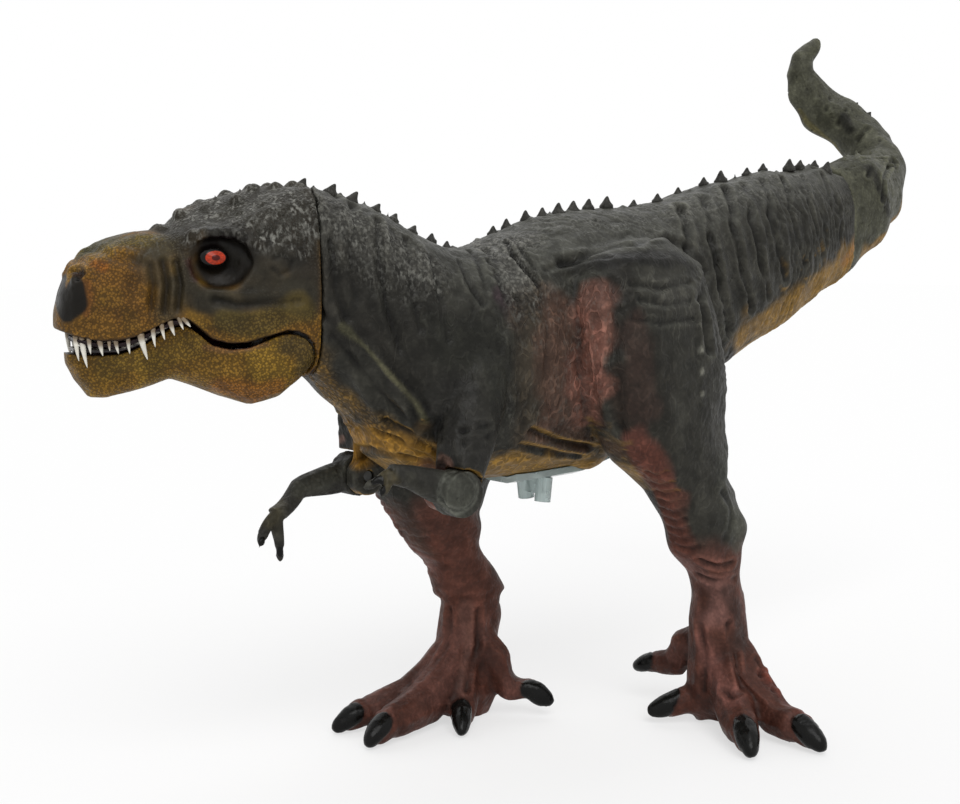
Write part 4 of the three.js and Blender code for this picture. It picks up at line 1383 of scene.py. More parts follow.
@dataclass(frozen=True)
class ToothFinish:
    """Cream plastic teeth whose roots and gums are dark."""

    name: str = "tooth_plastic"
    roughness: float = 0.28

    def build(self) -> Finish:
        """Makes the material, which reads the Paint attribute.

        Returns:
            The material.
        """
        bench = NodeBench(self.name)
        paint = bench.paint()
        place = bench.place()
        stain = bench.graded(bench.cloud(place, 500.0, 4.0), 0.3, 0.75, 0.82, 1.06)
        bench.link(bench.tint(paint, stain), bench.shader.inputs["Base Color"])
        rough = bench.graded(bench.cloud(place, 1200.0), 0.3, 0.7, self.roughness, self.roughness + 0.14)
        bench.link(rough, bench.shader.inputs["Roughness"])
        bench.bump(bench.cloud(bench.stretched(place, 0.2), 2200.0, 2.0), 0.05 * MM, 0.8)
        return bench.material


@dataclass(frozen=True)
class EyeFinish:
    """A glossy painted eye."""

    name: str = "eye_gloss_paint"

    def build(self) -> Finish:
        """Makes the material, which reads the Paint attribute.

        Returns:
            The material.
        """
        bench = NodeBench(self.name)
        paint = bench.paint()
        fleck = bench.graded(bench.cloud(bench.place(), 1800.0, 4.0), 0.3, 0.7, 0.75, 1.2)
        bench.link(bench.tint(paint, fleck), bench.shader.inputs["Base Color"])
        rough = bench.graded(bench.cloud(bench.place(), 700.0), 0.3, 0.7, 0.16, 0.26)
        bench.link(rough, bench.shader.inputs["Roughness"])
        bench.shader.inputs["Specular IOR Level"].default_value = 0.2
        return bench.material


@dataclass(frozen=True)
class ClearFinish:
    """Clear moulded plastic with a faint grey tint."""

    name: str = "clear_plastic"
    colour: str = "bccac8"

    def build(self) -> Finish:
        """Makes the material.

        Returns:
            The material.
        """
        bench = NodeBench(self.name)
        shader = bench.shader
        shader.inputs["Base Color"].default_value = (*ink(self.colour), 1)
        shader.inputs["Transmission Weight"].default_value = 0.45
        shader.inputs["IOR"].default_value = 1.46
        place = bench.place()
        rough = bench.graded(bench.cloud(place, 260.0, 4.0), 0.3, 0.7, 0.1, 0.3)
        bench.link(rough, shader.inputs["Roughness"])
        bench.bump(bench.cloud(place, 420.0, 3.0), 0.12 * MM, 0.7)
        return bench.material


class Body(Enum):
    """The CAD bodies that pieces ride on."""

    TRUNK = "body"
    HEAD = "head"
    JAW = "jaw"
    LEFT_ARM = "left_arm"
    RIGHT_ARM = "right_arm"


class Slot(Enum):
    """The record's material slots, by name."""

    BODY = "body_skin"
    HEAD = "head_skin"
    FOOT = "foot_skin"
    TOOTH = "tooth_white"
    FLESH = "mouth_flesh"
    EYE = "eye_gloss"


@dataclass
class Spikes:
    """A row of blunt spikes on the skin; their sizes are in millimetres."""

    name: str
    tips: Pixels
    body: Body = Body.TRUNK
    slot: Slot = Slot.BODY
    width: float = 3.0
    length: float = 3.2
    lowest: float = 1.8
    tallest: float = 2.7
    upright: float = 0.75
    lean: float = 0.25
    sides: int = 18
    rings: int = 14
    sink: float = 1.8
    colour: str = "2e2d29"

    def build(self, skin: Skin, finish: Finish) -> None:
        """Stands a spike on the skin at each tip that the photograph shows.

        Args:
            skin: The skin that the spikes stand on.
            finish: Their material.
        """
        roots = [self._root(skin, u, v) for u, v in self.tips]
        spikes = []
        for i, (foot, reach) in enumerate(roots):
            before, after = roots[max(i - 2, 0)][0], roots[min(i + 2, len(roots) - 1)][0]
            back = (after - before).normalized()
            rise = (UP - back * UP.dot(back)).normalized()
            spikes.append(self._spike(foot, rise, back, reach))
        row = join_as(spikes, self.name)
        self._paint(row)
        row.data.materials.append(finish)
        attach(row, self.body.value)
        LOG.info("%s: %d spikes", self.name, len(spikes))

    def _root(self, skin: Skin, u: float, v: float) -> tuple[Vector, float]:
        """The place on the skin's outline where the spike of a pixel stands, and the spike's height.

        Args:
            skin: The skin.
            u: Pixel column of the spike's tip.
            v: Pixel row of the spike's tip.

        Returns:
            The place, and the height in millimetres.
        """
        away = np.where(skin.normals[:, 2] > self.upright, VIEW.off_sight(skin.co, u, v), 1.0)
        nearest = int(np.argmin(away))
        return Vector(skin.co[nearest]), min(max(away[nearest] / MM + 0.3, self.lowest), self.tallest)

    def _spike(self, foot: Vector, rise: Vector, back: Vector, height: float) -> Piece:
        """Models one spike: a blunt flared cone that leans back.

        Args:
            foot: Where it stands.
            rise: The direction in which it points.
            back: The direction toward the tail.
            height: How far it stands out, in millimetres.

        Returns:
            The spike, with its place in its mesh.
        """
        deep = self.sink / (height + self.sink)
        size = 0.72 + 0.28 * (height - self.lowest) / (self.tallest - self.lowest)
        spike = new_ball(self.sides, self.rings)
        side = rise.cross(back).normalized()
        for vertex in spike.data.vertices:
            x, y, z = vertex.co
            up = min(max(z + 0.5, 0.0), 1.0)
            over = max(up - deep, 0.0) / (1 - deep)
            ring = max(math.hypot(x, y), 1e-6)
            flare = 0.5 * (1 - over) ** 0.42 * (1 - 0.3 * over) + 0.16 * (1 - over) ** 5
            reach = flare if up > 0.08 else ring
            reach = 0.0 if ring < 1e-5 else reach
            rib = 1 + 0.07 * math.cos(4 * math.atan2(y, x) + height * 9) * (1 - over)
            lean = self.lean * height * over ** 1.5 * MM
            vertex.co = (
                foot + side * (x / ring * reach * self.width * size * rib * MM)
                + back * (y / ring * reach * self.length * size * rib * MM + lean)
                + rise * ((up * (height + self.sink) - self.sink) * MM)
            )
        turn_out(spike)
        return spike

    def _paint(self, row: Piece) -> None:
        """Gives the spikes the attributes that the skin's material reads.

        Args:
            row: The joined spikes.
        """
        mesh = row.data
        colours = mesh.color_attributes.new("Paint", "FLOAT_COLOR", "POINT")
        for item, vertex in zip(colours.data, mesh.vertices):
            worn = 1 + 0.5 * noise.noise(vertex.co * 900)
            item.color = (*(ink(self.colour) * worn), 1)
        for name, value in (("Grain", 0.3), ("Gloss", 0.1), ("Net", 0.0), ("Dust", 0.3)):
            values = mesh.attributes.new(name, "FLOAT", "POINT")
            values.data.foreach_set("value", [value] * len(mesh.vertices))


def turn_out(obj: Piece) -> None:
    """Makes a closed object's faces point outward and shade smooth, with its place in its mesh.

    Args:
        obj: The object, whose own place is cleared.
    """
    obj.matrix_world = Matrix.Identity(4)
    choose(obj)
    bpy.ops.object.mode_set(mode="EDIT")
    bpy.ops.mesh.select_all(action="SELECT")
    bpy.ops.mesh.normals_make_consistent(inside=False)
    bpy.ops.object.mode_set(mode="OBJECT")
    bpy.ops.object.shade_smooth()


TAIL_TUGS = (
    Pull((848, 266), (5, 7), 16.0), Pull((876, 240), (5, 6), 15.0), Pull((897, 212), (2, 2), 10.0),
    Pull((888, 130), (-4, 3), 9.0), Pull((862, 110), (-6, 6), 10.0), Pull((838, 92), (-6, 7), 9.0),
    Pull((815, 120), (-9, 6), 12.0), Pull((796, 95), (-6, 3), 8.0), Pull((812, 44), (5, 0), 6.0),
)


@dataclass
class Hide:
    """The skin of trunk, neck, tail root, legs and feet, sculpted and painted as one."""

    voxel: float = 0.68
    back: Pixels = (
        (304, 179), (331, 184), (355, 192), (377, 204), (396, 216), (414, 228), (431, 239), (446, 248),
        (491, 229), (505, 220), (523, 212), (540, 209), (557, 204), (574, 202), (592, 201), (612, 200),
        (632, 204), (656, 197), (678, 193), (701, 181), (724, 172), (744, 170), (765, 166), (783, 163),
        (799, 161), (815, 161), (831, 159),
    )
    claws: tuple[Pixels, ...] = (
        ((337, 722), (350, 713)), ((362, 739), (379, 722)), ((460, 706), (460, 728)),
        ((545, 701), (534, 690)), ((637, 661), (641, 660)), ((657, 712), (666, 694)),
        ((745, 722), (750, 750)), ((805, 724), (818, 746)),
    )
    claw_radius: float = 3.9
    ankle: float = 52.0
    shin: float = 66.0
    tugs: tuple[Pull, ...] = (
        Pull((325, 395), (-3, 1), 8.0), Pull((596, 460), (0, 9), 10.0),
        Pull((755, 650), (-7, 4), 8.0), Pull((780, 690), (-4, 6), 8.0),
        Pull((505, 478), (-16, -3), 11.0), Pull((488, 500), (-8, 0), 9.0), Pull((727, 430), (-7, 0), 14.0),
        Pull((741, 485), (-14, 0), 11.0), Pull((742, 528), (5, 0), 6.5), Pull((530, 213), (0, -3), 9.0),
        Pull((715, 186), (0, -2), 9.0), Pull((765, 176), (0, -4), 12.0), Pull((812, 170), (0, -4), 10.0),
        Pull((744, 575), (-3, 0), 8.0), Pull((762, 665), (-10, 10), 10.0), Pull((690, 595), (3, 0), 7.0),
        Pull((683, 632), (-6, 2), 7.0), Pull((640, 662), (-5, 2), 8.0), Pull((658, 705), (-9, 1), 8.0),
        Pull((712, 727), (0, -5), 6.0), Pull((545, 697), (-1, 8), 9.0), Pull((522, 668), (-5, 8), 8.0),
        Pull((508, 690), (0, 7), 6.0), Pull((375, 697), (-1, 4), 8.0), Pull((335, 722), (-3, 2), 7.0),
        Pull((676, 550), (-5, 1), 9.0), Pull((638, 478), (3, 0), 8.0), Pull((415, 545), (-4, 0), 10.0),
        Pull((499, 612), (4, 0), 8.0), Pull((490, 548), (-4, 0), 9.0),
    )

    def build(self, finish: Finish) -> None:
        """Sculpts and paints the skin, then parts it into its nodes' pieces.

        Args:
            finish: The skin's material.
        """
        nodes = ("trunk_and_neck", "left_leg", "right_leg", "left_foot", "right_foot")
        skin = Skin(nodes, self.voxel, "2b2a25", BODY_PLANE, smoothing=16)
        skin.shave(skin.away_from_photo_line(self.back) < 5.0, 0.15)
        skin.calm(((440, 588), (470, 592), (500, 590)), 7.0, 40, Twin.NONE)
        skin.calm(((690, 590), (715, 592), (742, 590)), 6.0, 30, Twin.NONE)
        skin.calm(((560, 266), (575, 262), (600, 256)), 4.0, 25)
        skin.pull(*self.tugs, *TAIL_TUGS)
        self._fold(skin)
        self._fold_legs(skin)
        self._wrinkle(skin)
        skin.hold("trunk_and_neck")
        self._colour_back(skin)
        self._colour_flank(skin)
        self._colour_under(skin)
        self._colour_legs(skin)
        skin.shade_relief(0.65, 0.75, 8)
        for claw in self.claws:
            skin.claw(claw, self.claw_radius, "0f0f0e")
        skin.done_by_node(Body.TRUNK, finish)
        Spikes("back_spikes", self.back).build(skin, finish)

    def _fold(self, skin: Skin) -> None:
        """Folds of the neck, chest, shoulder, flank and tail root.

        Args:
            skin: The skin to work on.
        """
        skin.crease(
            Crease(((340, 325), (365, 345), (390, 375), (415, 400), (425, 420)), 1.0, -0.8, 0.1),
            Crease(((333, 336), (355, 362), (380, 393), (404, 418)), 1.0, 0.6, 0.2),
            Crease(((358, 333), (384, 362), (410, 390), (430, 412)), 1.0, 0.5, 0.2),
            Crease(((372, 330), (396, 356), (424, 384)), 0.9, -0.4, 0.1),
            Crease(((506, 243), (514, 258), (526, 272), (538, 286)), 0.8, 1.2, 0.5),
            Crease(((470, 252), (480, 270), (486, 290)), 0.9, 0.8),
            Crease(((483, 250), (497, 268), (503, 292), (510, 306)), 0.9, 0.8),
            Crease(((459, 262), (468, 282), (482, 305)), 0.9, 0.8),
            Crease(((488, 262), (500, 286), (520, 300)), 0.8, 0.8),
            Crease(((512, 240), (524, 256), (534, 270)), 0.8, 0.6),
            Crease(((530, 430), (560, 442), (590, 447)), 1.0, 1.0),
            Crease(((520, 445), (550, 452), (580, 456)), 0.9, 0.8),
            Crease(((438, 427), (462, 432), (490, 426)), 1.0, 1.1),
            Crease(((440, 437), (464, 443), (490, 436)), 1.0, 1.1),
            Crease(((446, 447), (466, 451), (484, 446)), 0.9, 0.8),
            Crease(((375, 430), (400, 440), (430, 458)), 0.8, 0.8),
            Crease(((370, 447), (400, 455), (432, 462)), 0.8, 0.8),
            Crease(((385, 420), (410, 432), (436, 452)), 0.8, 0.8),
            Crease(((318, 200), (314, 240), (318, 290), (325, 318)), 1.0, 0.7),
            Crease(((335, 196), (331, 240), (336, 290), (346, 318)), 1.1, 0.8),
            Crease(((352, 205), (350, 250), (356, 300)), 1.1, 0.8),
            Crease(((378, 220), (378, 260), (388, 310), (400, 350)), 1.1, 0.7),
            Crease(((405, 240), (410, 280), (420, 330)), 1.1, 0.7),
            Crease(((430, 258), (440, 300), (448, 340)), 1.1, 0.6),
        )
        skin.crease(
            Crease(((560, 262), (604, 250), (637, 244), (669, 240), (688, 249), (703, 273)), 1.5, 0.9, 0.5),
            Crease(((545, 270), (575, 262), (610, 257)), 1.0, 0.5, 0.2),
            Crease(((680, 208), (688, 250), (700, 300), (708, 350)), 1.5, 1.5),
            Crease(((703, 198), (711, 240), (721, 290), (728, 330)), 1.5, 1.4),
            Crease(((725, 188), (733, 225), (743, 270), (750, 308)), 1.4, 1.3),
            Crease(((743, 184), (750, 220), (760, 262), (768, 296)), 1.2, 1.0),
            Crease(((762, 180), (769, 216), (778, 250), (786, 280)), 1.2, 0.9),
            Crease(((782, 178), (789, 210), (797, 240), (804, 264)), 1.0, 0.8),
            Crease(((802, 176), (808, 204), (816, 232), (822, 254)), 1.0, 0.7),
            Crease(((822, 174), (828, 200), (836, 226)), 0.9, 0.6),
            Crease(((515, 300), (520, 340), (518, 390), (524, 425)), 1.3, 0.4),
            Crease(((540, 290), (548, 330), (545, 380), (552, 420)), 1.0, 0.3),
            Crease(((575, 285), (580, 330), (578, 380), (584, 420)), 1.0, 0.3),
            Crease(((612, 285), (616, 330), (614, 380), (620, 430)), 1.8, 0.9, 0.3),
        )

    def _fold_legs(self, skin: Skin) -> None:
        """Ring folds of the shins and creases of hocks, ankles and toes.

        Args:
            skin: The skin to work on.
        """
        front = tuple(
            Crease(((u - 4, v), (u + 6, v + 4), (u + 17, v + 1)), 0.8, 0.34, 0.5, Twin.LEG)
            for u, v in (
                (650, 472), (655, 482), (660, 491), (664, 500), (667, 509),
                (670, 518), (673, 527), (677, 536), (683, 546),
            )
        )
        far = tuple(
            Crease(((u - 4, v), (u + 22, v + 7), (u + 46, v + 3)), 1.0, 0.3, 0.5, Twin.NONE)
            for u, v in ((392, 516), (404, 532), (418, 549), (434, 570), (443, 592))
        )
        dots = ((699, 350), (700, 361), (701, 372), (702, 383), (702, 394), (703, 405))
        skin.lump(dots, 1.5, 0.5, Twin.NONE)
        skin.crease(
            *front, *far,
            Crease(((722, 492), (730, 505), (731, 524), (724, 540)), 1.0, 0.6, 0.6, Twin.LEG),
            Crease(((640, 300), (665, 305), (695, 300)), 0.9, 0.6, 0.5, Twin.LEG),
            Crease(((632, 318), (660, 324), (696, 318)), 0.9, 0.6, 0.5, Twin.LEG),
            Crease(((630, 284), (660, 288), (690, 282)), 0.9, 0.6, 0.5, Twin.LEG),
            Crease(((700, 560), (715, 566), (732, 563)), 0.9, 0.7, 0.5, Twin.LEG),
            Crease(((698, 574), (715, 581), (735, 578)), 0.9, 0.6, 0.5, Twin.LEG),
            Crease(((757, 660), (763, 668), (760, 676)), 0.9, 0.8, 0.5, Twin.NONE),
            Crease(((770, 673), (777, 682), (773, 691)), 0.9, 0.8, 0.5, Twin.NONE),
            Crease(((722, 690), (732, 697), (740, 694)), 0.9, 0.8, 0.5, Twin.NONE),
            Crease(((700, 625), (706, 655), (704, 690)), 1.0, 0.6, 0.5, Twin.NONE),
            Crease(((728, 625), (736, 655), (742, 690)), 1.0, 0.6, 0.5, Twin.NONE),
            Crease(((450, 610), (447, 645), (420, 680)), 1.0, 0.6, 0.5, Twin.NONE),
            Crease(((478, 610), (478, 645), (466, 690)), 1.0, 0.6, 0.5, Twin.NONE),
        )

    def _wrinkle(self, skin: Skin) -> None:
        """Fields of fine wrinkles and the small net over all of it.

        Args:
            skin: The skin to work on.
        """
        skin.wrinkle(
            Wrinkles((1, 0.2, 0.15), 2.6, 0.3, (6, -14, 104), (30, 34, 36), seed=2.0),
            Wrinkles((0.2, 0.1, 1), 2.6, 0.2, (4, -14, 104), (28, 34, 34), seed=4.0),
            Wrinkles((0.8, 0.1, 0.4), 2.8, 0.42, (-62, 7, 132), (34, 34, 30), seed=6.0),
            Wrinkles((1, 0.1, 0.2), 2.8, 0.34, (-58, 7, 104), (34, 40, 34), seed=16.0),
            Wrinkles((1, 0.1, 0.1), 2.8, 0.5, (72, 7, 130), (46, 40, 44), seed=8.0),
            Wrinkles((0.15, 0, 1), 2.6, 0.34, (24, 7, 108), (28, 60, 24), seed=3.0),
            Wrinkles((1, 0, 0.3), 3.2, 0.28, (22, -24, 80), (26, 26, 26), seed=5.0),
            Wrinkles((0.3, 0, 1), 2.8, 0.3, (-8, 34, 90), (26, 22, 30), seed=3.5),
            Wrinkles((0.5, 0, 1), 2.6, 0.36, (-20, 7, 142), (40, 30, 22), seed=13.0),
        )
        skin.rumple(4.2, 0.35, seed=3.0)
        skin.rumple(2.2, 0.25, seed=7.0)
        skin.soften(1)

    def _colour_back(self, skin: Skin) -> None:
        """Sprays the neck, the back and the shoulder, with painted highlight on the tops and painted shade
        and shadow in the hip fold and creases.

        Args:
            skin: The skin to work on.
        """
        height = skin.rest[:, 2] / MM
        skin.mark("Grain", 1.0, 0.25)
        skin.mark("Net", 1.0, 0.35)
        skin.coat(ease(wander(skin.rest, 9 * MM, 5.0), 0.0, 0.6), "36352f", 0.7)
        # Faces that point up painted lighter, as painted highlight.
        skin.coat(ease(skin.normals[:, 2], 0.15, 0.85), "44443e", 0.7)
        skin.spray(
            Spray(((318, 250), (325, 290), (335, 320)), 6.0, "24231f", 0.7),
            Spray(((345, 292), (365, 305), (395, 335), (410, 365)), 9.0, "211f1b", 0.85),
            Spray(((395, 290), (430, 330), (455, 380), (470, 430)), 11.0, "22211d", 0.85),
            Spray(((455, 340), (490, 350), (505, 400)), 9.0, "22221d", 0.85),
            Spray(((455, 400), (465, 440), (465, 470)), 8.0, "242320", 0.9),
            Spray(((330, 215), (370, 235), (430, 268)), 6.0, "43423d", 0.7),
            Spray(((478, 238), (497, 250), (515, 275), (525, 300)), 5.0, "5b5a55", 0.8),
            Spray(((500, 296), (512, 308), (520, 322)), 3.0, "2e2327", 0.8),
            # A light band along the top of the hip fold: painted highlight.
            Spray(((535, 250), (560, 246), (600, 240), (640, 232)), 3.4, "4c4c46", 0.7),
            # Dark under the hip fold: painted shadow.
            Spray(((566, 266), (604, 262), (640, 256), (680, 258)), 3.0, "1b1a17", 0.85),
            # Dark between flank and thigh, down the fold: painted shade.
            Spray(((622, 275), (620, 320), (616, 370)), 4.6, "201e1a", 0.8),
            Spray(((620, 375), (622, 405), (632, 432)), 4.6, "2a211b", 0.8),
            Spray(((650, 360), (655, 400), (660, 440)), 7.0, "23211c", 0.7),
            Spray(((342, 327), (366, 347), (391, 376), (415, 402), (424, 420)), 0.8, "4c4a34", 0.45),
            # Dark in the shoulder crease: painted shade.
            Spray(((506, 243), (514, 258), (526, 272), (538, 286)), 0.8, "11100e", 0.9),
            Spray(((304, 250), (318, 262), (330, 300)), 3.0, "2a2823", 0.5),
            # Dark along the top of the elbow disc, where the upper arm meets it: painted shade.
            Spray(((440, 470), (456, 472), (472, 474), (488, 474)), 1.6, "181714", 0.9),
            # Dark under the hip fold, a second stroke: painted shadow.
            Spray(((602, 262), (632, 258), (662, 258)), 3.2, "151412", 0.85),
            # Lighter on top of the thigh, below the hip fold: painted highlight.
            Spray(((650, 282), (675, 292), (690, 318)), 4.5, "3f3e38", 0.6, Twin.LEG),
        )
        rough = skin.near(((462, 240), (480, 238), (497, 250), (515, 275), (525, 300)), 6.0)
        rough = np.maximum(rough, skin.near(((322, 205), (350, 222), (385, 242), (430, 272)), 7.0))
        rough = np.maximum(rough, 0.55 * skin.near(((320, 240), (360, 265), (410, 290)), 5.0))
        skin.mark("Dust", rough, 1.0)
        skin.mark("Grain", rough, 0.9)
        skin.mark("Dust", skin.near(((500, 235), (560, 222), (640, 218), (720, 195), (800, 180)), 8.0), 0.6)

    def _colour_flank(self, skin: Skin) -> None:
        """Sprays the red-brown flank and its net of ridges.

        Args:
            skin: The skin to work on.
        """
        skin.spray(
            Spray(((536, 310), (534, 360), (530, 430)), 8.0, "383127", 0.85),
            Spray(((560, 312), (562, 360), (556, 420)), 8.0, "4e392f", 0.8),
            Spray(((590, 298), (593, 335), (590, 380), (584, 415)), 6.0, "6c4a3f", 0.85),
            Spray(((583, 318), (587, 350), (590, 395)), 2.8, "7a5145", 0.5),
            Spray(((597, 325), (599, 350), (600, 385)), 1.6, "7f5448", 0.5),
            Spray(((634, 335), (642, 370), (642, 405)), 5.0, "3a2b25", 0.6),
            Spray(((560, 430), (590, 442), (625, 452)), 4.4, "3c2b22", 0.75),
            Spray(((632, 440), (650, 462), (660, 478)), 4.0, "5a352c", 0.8, Twin.LEG),
        )
        flank = skin.near(((530, 320), (560, 300), (590, 310), (585, 370), (555, 420), (525, 410)), 10.0)
        skin.mark("Net", flank, 0.7)
        skin.mark("Dust", 0.5 * flank, 0.5)
        skin.mark("Net", skin.near(((640, 290), (670, 310), (690, 330)), 8.0, Twin.LEG), 0.6)

    def _colour_under(self, skin: Skin) -> None:
        """Sprays the yellow of throat, chest, belly and tail.

        Args:
            skin: The skin to work on.
        """
        height = skin.rest[:, 2] / MM
        throat = ((318, 362), (330, 388), (350, 408), (385, 424))
        skin.spray(
            Spray(throat, 4.2, "4c3d24", 0.9),
            Spray(((320, 368), (334, 392), (356, 410)), 2.2, "6b5226", 0.7),
            Spray(((376, 436), (395, 444), (425, 458)), 5.4, "876325", 0.95),
            Spray(((500, 463), (530, 466), (560, 467), (600, 464)), 4.6, "836327", 0.95),
            Spray(((442, 458), (450, 462)), 1.2, "8c6a5c", 0.5),
            Spray(
                ((742, 338), (785, 306), (830, 275), (862, 250), (884, 226)), 5.8, "7c5f2c", 0.95, Twin.NONE,
            ),
            Spray(((735, 360), (775, 328), (822, 292), (866, 256)), 6.2, "87682e", 0.95, Twin.NONE),
            Spray(((845, 262), (862, 246), (876, 236)), 2.6, "8f5f2c", 0.5, Twin.NONE),
        )
        facing = skin.normals[:, 2]
        tail = ease(skin.rest[:, 0] / MM, 40, 54) * ease(facing, -0.2, -0.6) * ease(height, 84, 92)
        skin.coat(tail, "80632d", 0.9)
        below = ease(facing, -0.55, -0.85) * ease(height, 62, 68) * ease(height, 100, 88)
        skin.coat(below, "7f6128", 0.9)
        skin.mark("Net", skin.near(((372, 436), (395, 444), (425, 458)), 6.5), 0.6)
        skin.mark("Net", skin.near(((500, 461), (530, 464), (600, 462)), 5.5), 0.7)
        skin.mark("Grain", skin.near(throat, 4.5), 1.0)
        skin.mark("Net", skin.near(((742, 338), (785, 306), (830, 275), (870, 245)), 7.0), 0.5)

    def _colour_legs(self, skin: Skin) -> None:
        """Sprays shins, hocks, ankles and feet.

        Args:
            skin: The skin to work on.
        """
        height = skin.rest[:, 2] / MM
        skin.coat(ease(height, self.ankle + 5, self.ankle - 5), "4c2e25", 0.94)
        skin.coat(ease(height, 26.0, 14.0), "45271f", 0.7)
        worn = ease(wander(skin.rest, 6 * MM, 3.0), 0.05, 0.6) * ease(height, self.ankle + 4, self.ankle - 6)
        skin.coat(worn, "64423a", 0.5)
        skin.spray(
            Spray(((645, 455), (662, 490), (674, 530), (684, 556)), 4.6, "5a352b", 0.9, Twin.LEG),
            Spray(((722, 470), (730, 500), (732, 528)), 5.0, "34342e", 0.9, Twin.LEG),
            Spray(((738, 515), (742, 530), (738, 545)), 3.4, "47473f", 0.6, Twin.LEG),
            # Light dots on the raised bumps of the thigh: painted highlight.
            *(Spray((spot,), 0.9, "66655c", 0.7, Twin.NONE) for spot in ((699, 350), (701, 372), (702, 394))),
            Spray(((425, 500), (445, 535), (462, 570), (468, 600)), 9.0, "56342a", 0.92, Twin.NONE),
            Spray(((455, 505), (470, 525), (484, 560)), 5.0, "5b382d", 0.6, Twin.NONE),
            Spray(((395, 505), (408, 530), (424, 552)), 4.0, "3a2b23", 0.7, Twin.NONE),
            # Pinkish-brown over the ankle rings: partly the toy's paint, partly painted highlight.
            Spray(((684, 562), (704, 578), (722, 590), (718, 612)), 3.4, "72514a", 0.7, Twin.LEG),
            Spray(((728, 590), (738, 610), (740, 640)), 2.6, "3b2a25", 0.7, Twin.LEG),
            Spray(((700, 640), (712, 670), (735, 700)), 3.0, "6b463f", 0.5, Twin.NONE),
            Spray(((775, 680), (795, 698), (812, 712)), 4.0, "5d2d22", 0.7, Twin.NONE),
            Spray(((398, 690), (380, 705), (420, 712)), 4.0, "54362e", 0.5, Twin.NONE),
            Spray(((466, 610), (468, 645), (462, 690)), 2.2, "6a4a41", 0.5, Twin.NONE),
        )
        skin.mark("Net", ease(height, self.shin, self.shin - 12), 0.2)


@dataclass
class TailEnd:
    """The separate end of the tail."""

    voxel: float = 0.6
    tips: Pixels = ((841, 98), (856, 105), (869, 114))

    def build(self, finish: Finish) -> None:
        """Sculpts and paints the tail end.

        Args:
            finish: The material.
        """
        skin = Skin(("tail_end",), self.voxel, "414135", Mirror((0.13, NECK.y, 0.15)))
        skin.pull(*TAIL_TUGS)
        skin.crease(
            Crease(((868, 128), (858, 140), (852, 156)), 0.9, 0.7),
            Crease(((880, 140), (872, 158), (868, 176)), 0.9, 0.7),
            Crease(((892, 158), (884, 178), (882, 200)), 0.9, 0.7), Crease(((830, 98), (826, 110)), 0.8, 0.5),
            Crease(((846, 110), (838, 124)), 0.8, 0.5),
        )
        skin.rumple(3.4, 0.35, seed=5.0)
        skin.rumple(2.0, 0.2, seed=8.0)
        skin.mark("Grain", 1.0, 0.3)
        skin.mark("Net", 1.0, 0.2)
        skin.coat(ease(wander(skin.rest, 8 * MM, 7.0), 0.0, 0.5), "4e4e42", 0.6)
        skin.spray(
            Spray(((800, 112), (816, 130), (838, 150)), 1.8, "655d36", 0.6, Twin.NONE),
            Spray(((870, 170), (882, 195), (889, 212)), 2.2, "171613", 0.8, Twin.NONE),
            Spray(((845, 118), (850, 128)), 2.2, "171613", 0.8, Twin.NONE),
            Spray(((862, 256), (884, 240), (897, 222), (903, 206)), 3.8, "7c5f2c", 0.9, Twin.NONE),
        )
        skin.shade_relief(0.6, 0.7, 7)
        skin.done(Body.TRUNK, finish)
        Spikes(
            "tail_spikes", self.tips, width=2.0, length=2.3, lowest=1.0, tallest=1.5, upright=0.2, sink=1.2,
        ).build(skin, finish)


@dataclass
class Forearm:
    """One forearm that turns at the elbow, with its hand."""

    side: str
    body: Body
    coats: tuple[Spray, ...]
    claws: tuple[Pixels, ...]
    folds: tuple[Crease, ...] = ()
    tugs: tuple[Pull, ...] = ()
    voxel: float = 0.38

    def build(self, finish: Finish) -> None:
        """Sculpts and paints the forearm.

        Args:
            finish: The material.
        """
        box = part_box(f"{self.side}_forearm")
        plane = Mirror((0.0, (box[0][1] + box[1][1]) / 2, 0.07))
        skin = Skin((f"{self.side}_forearm",), self.voxel, "2c2b27", plane, smoothing=12)
        skin.pull(*self.tugs)
        skin.crease(*self.folds)
        skin.rumple(2.4, 0.22, seed=2.0)
        skin.mark("Grain", 1.0, 0.3)
        skin.mark("Net", 1.0, 0.2)
        skin.coat(ease(wander(skin.rest, 5 * MM, 3.0), 0.0, 0.5), "3a3932", 0.6)
        skin.spray(*self.coats)
        skin.shade_relief(0.55, 0.6, 6)
        for claw in self.claws:
            skin.claw(claw, 1.5, "10100e")
        skin.done(self.body, finish)


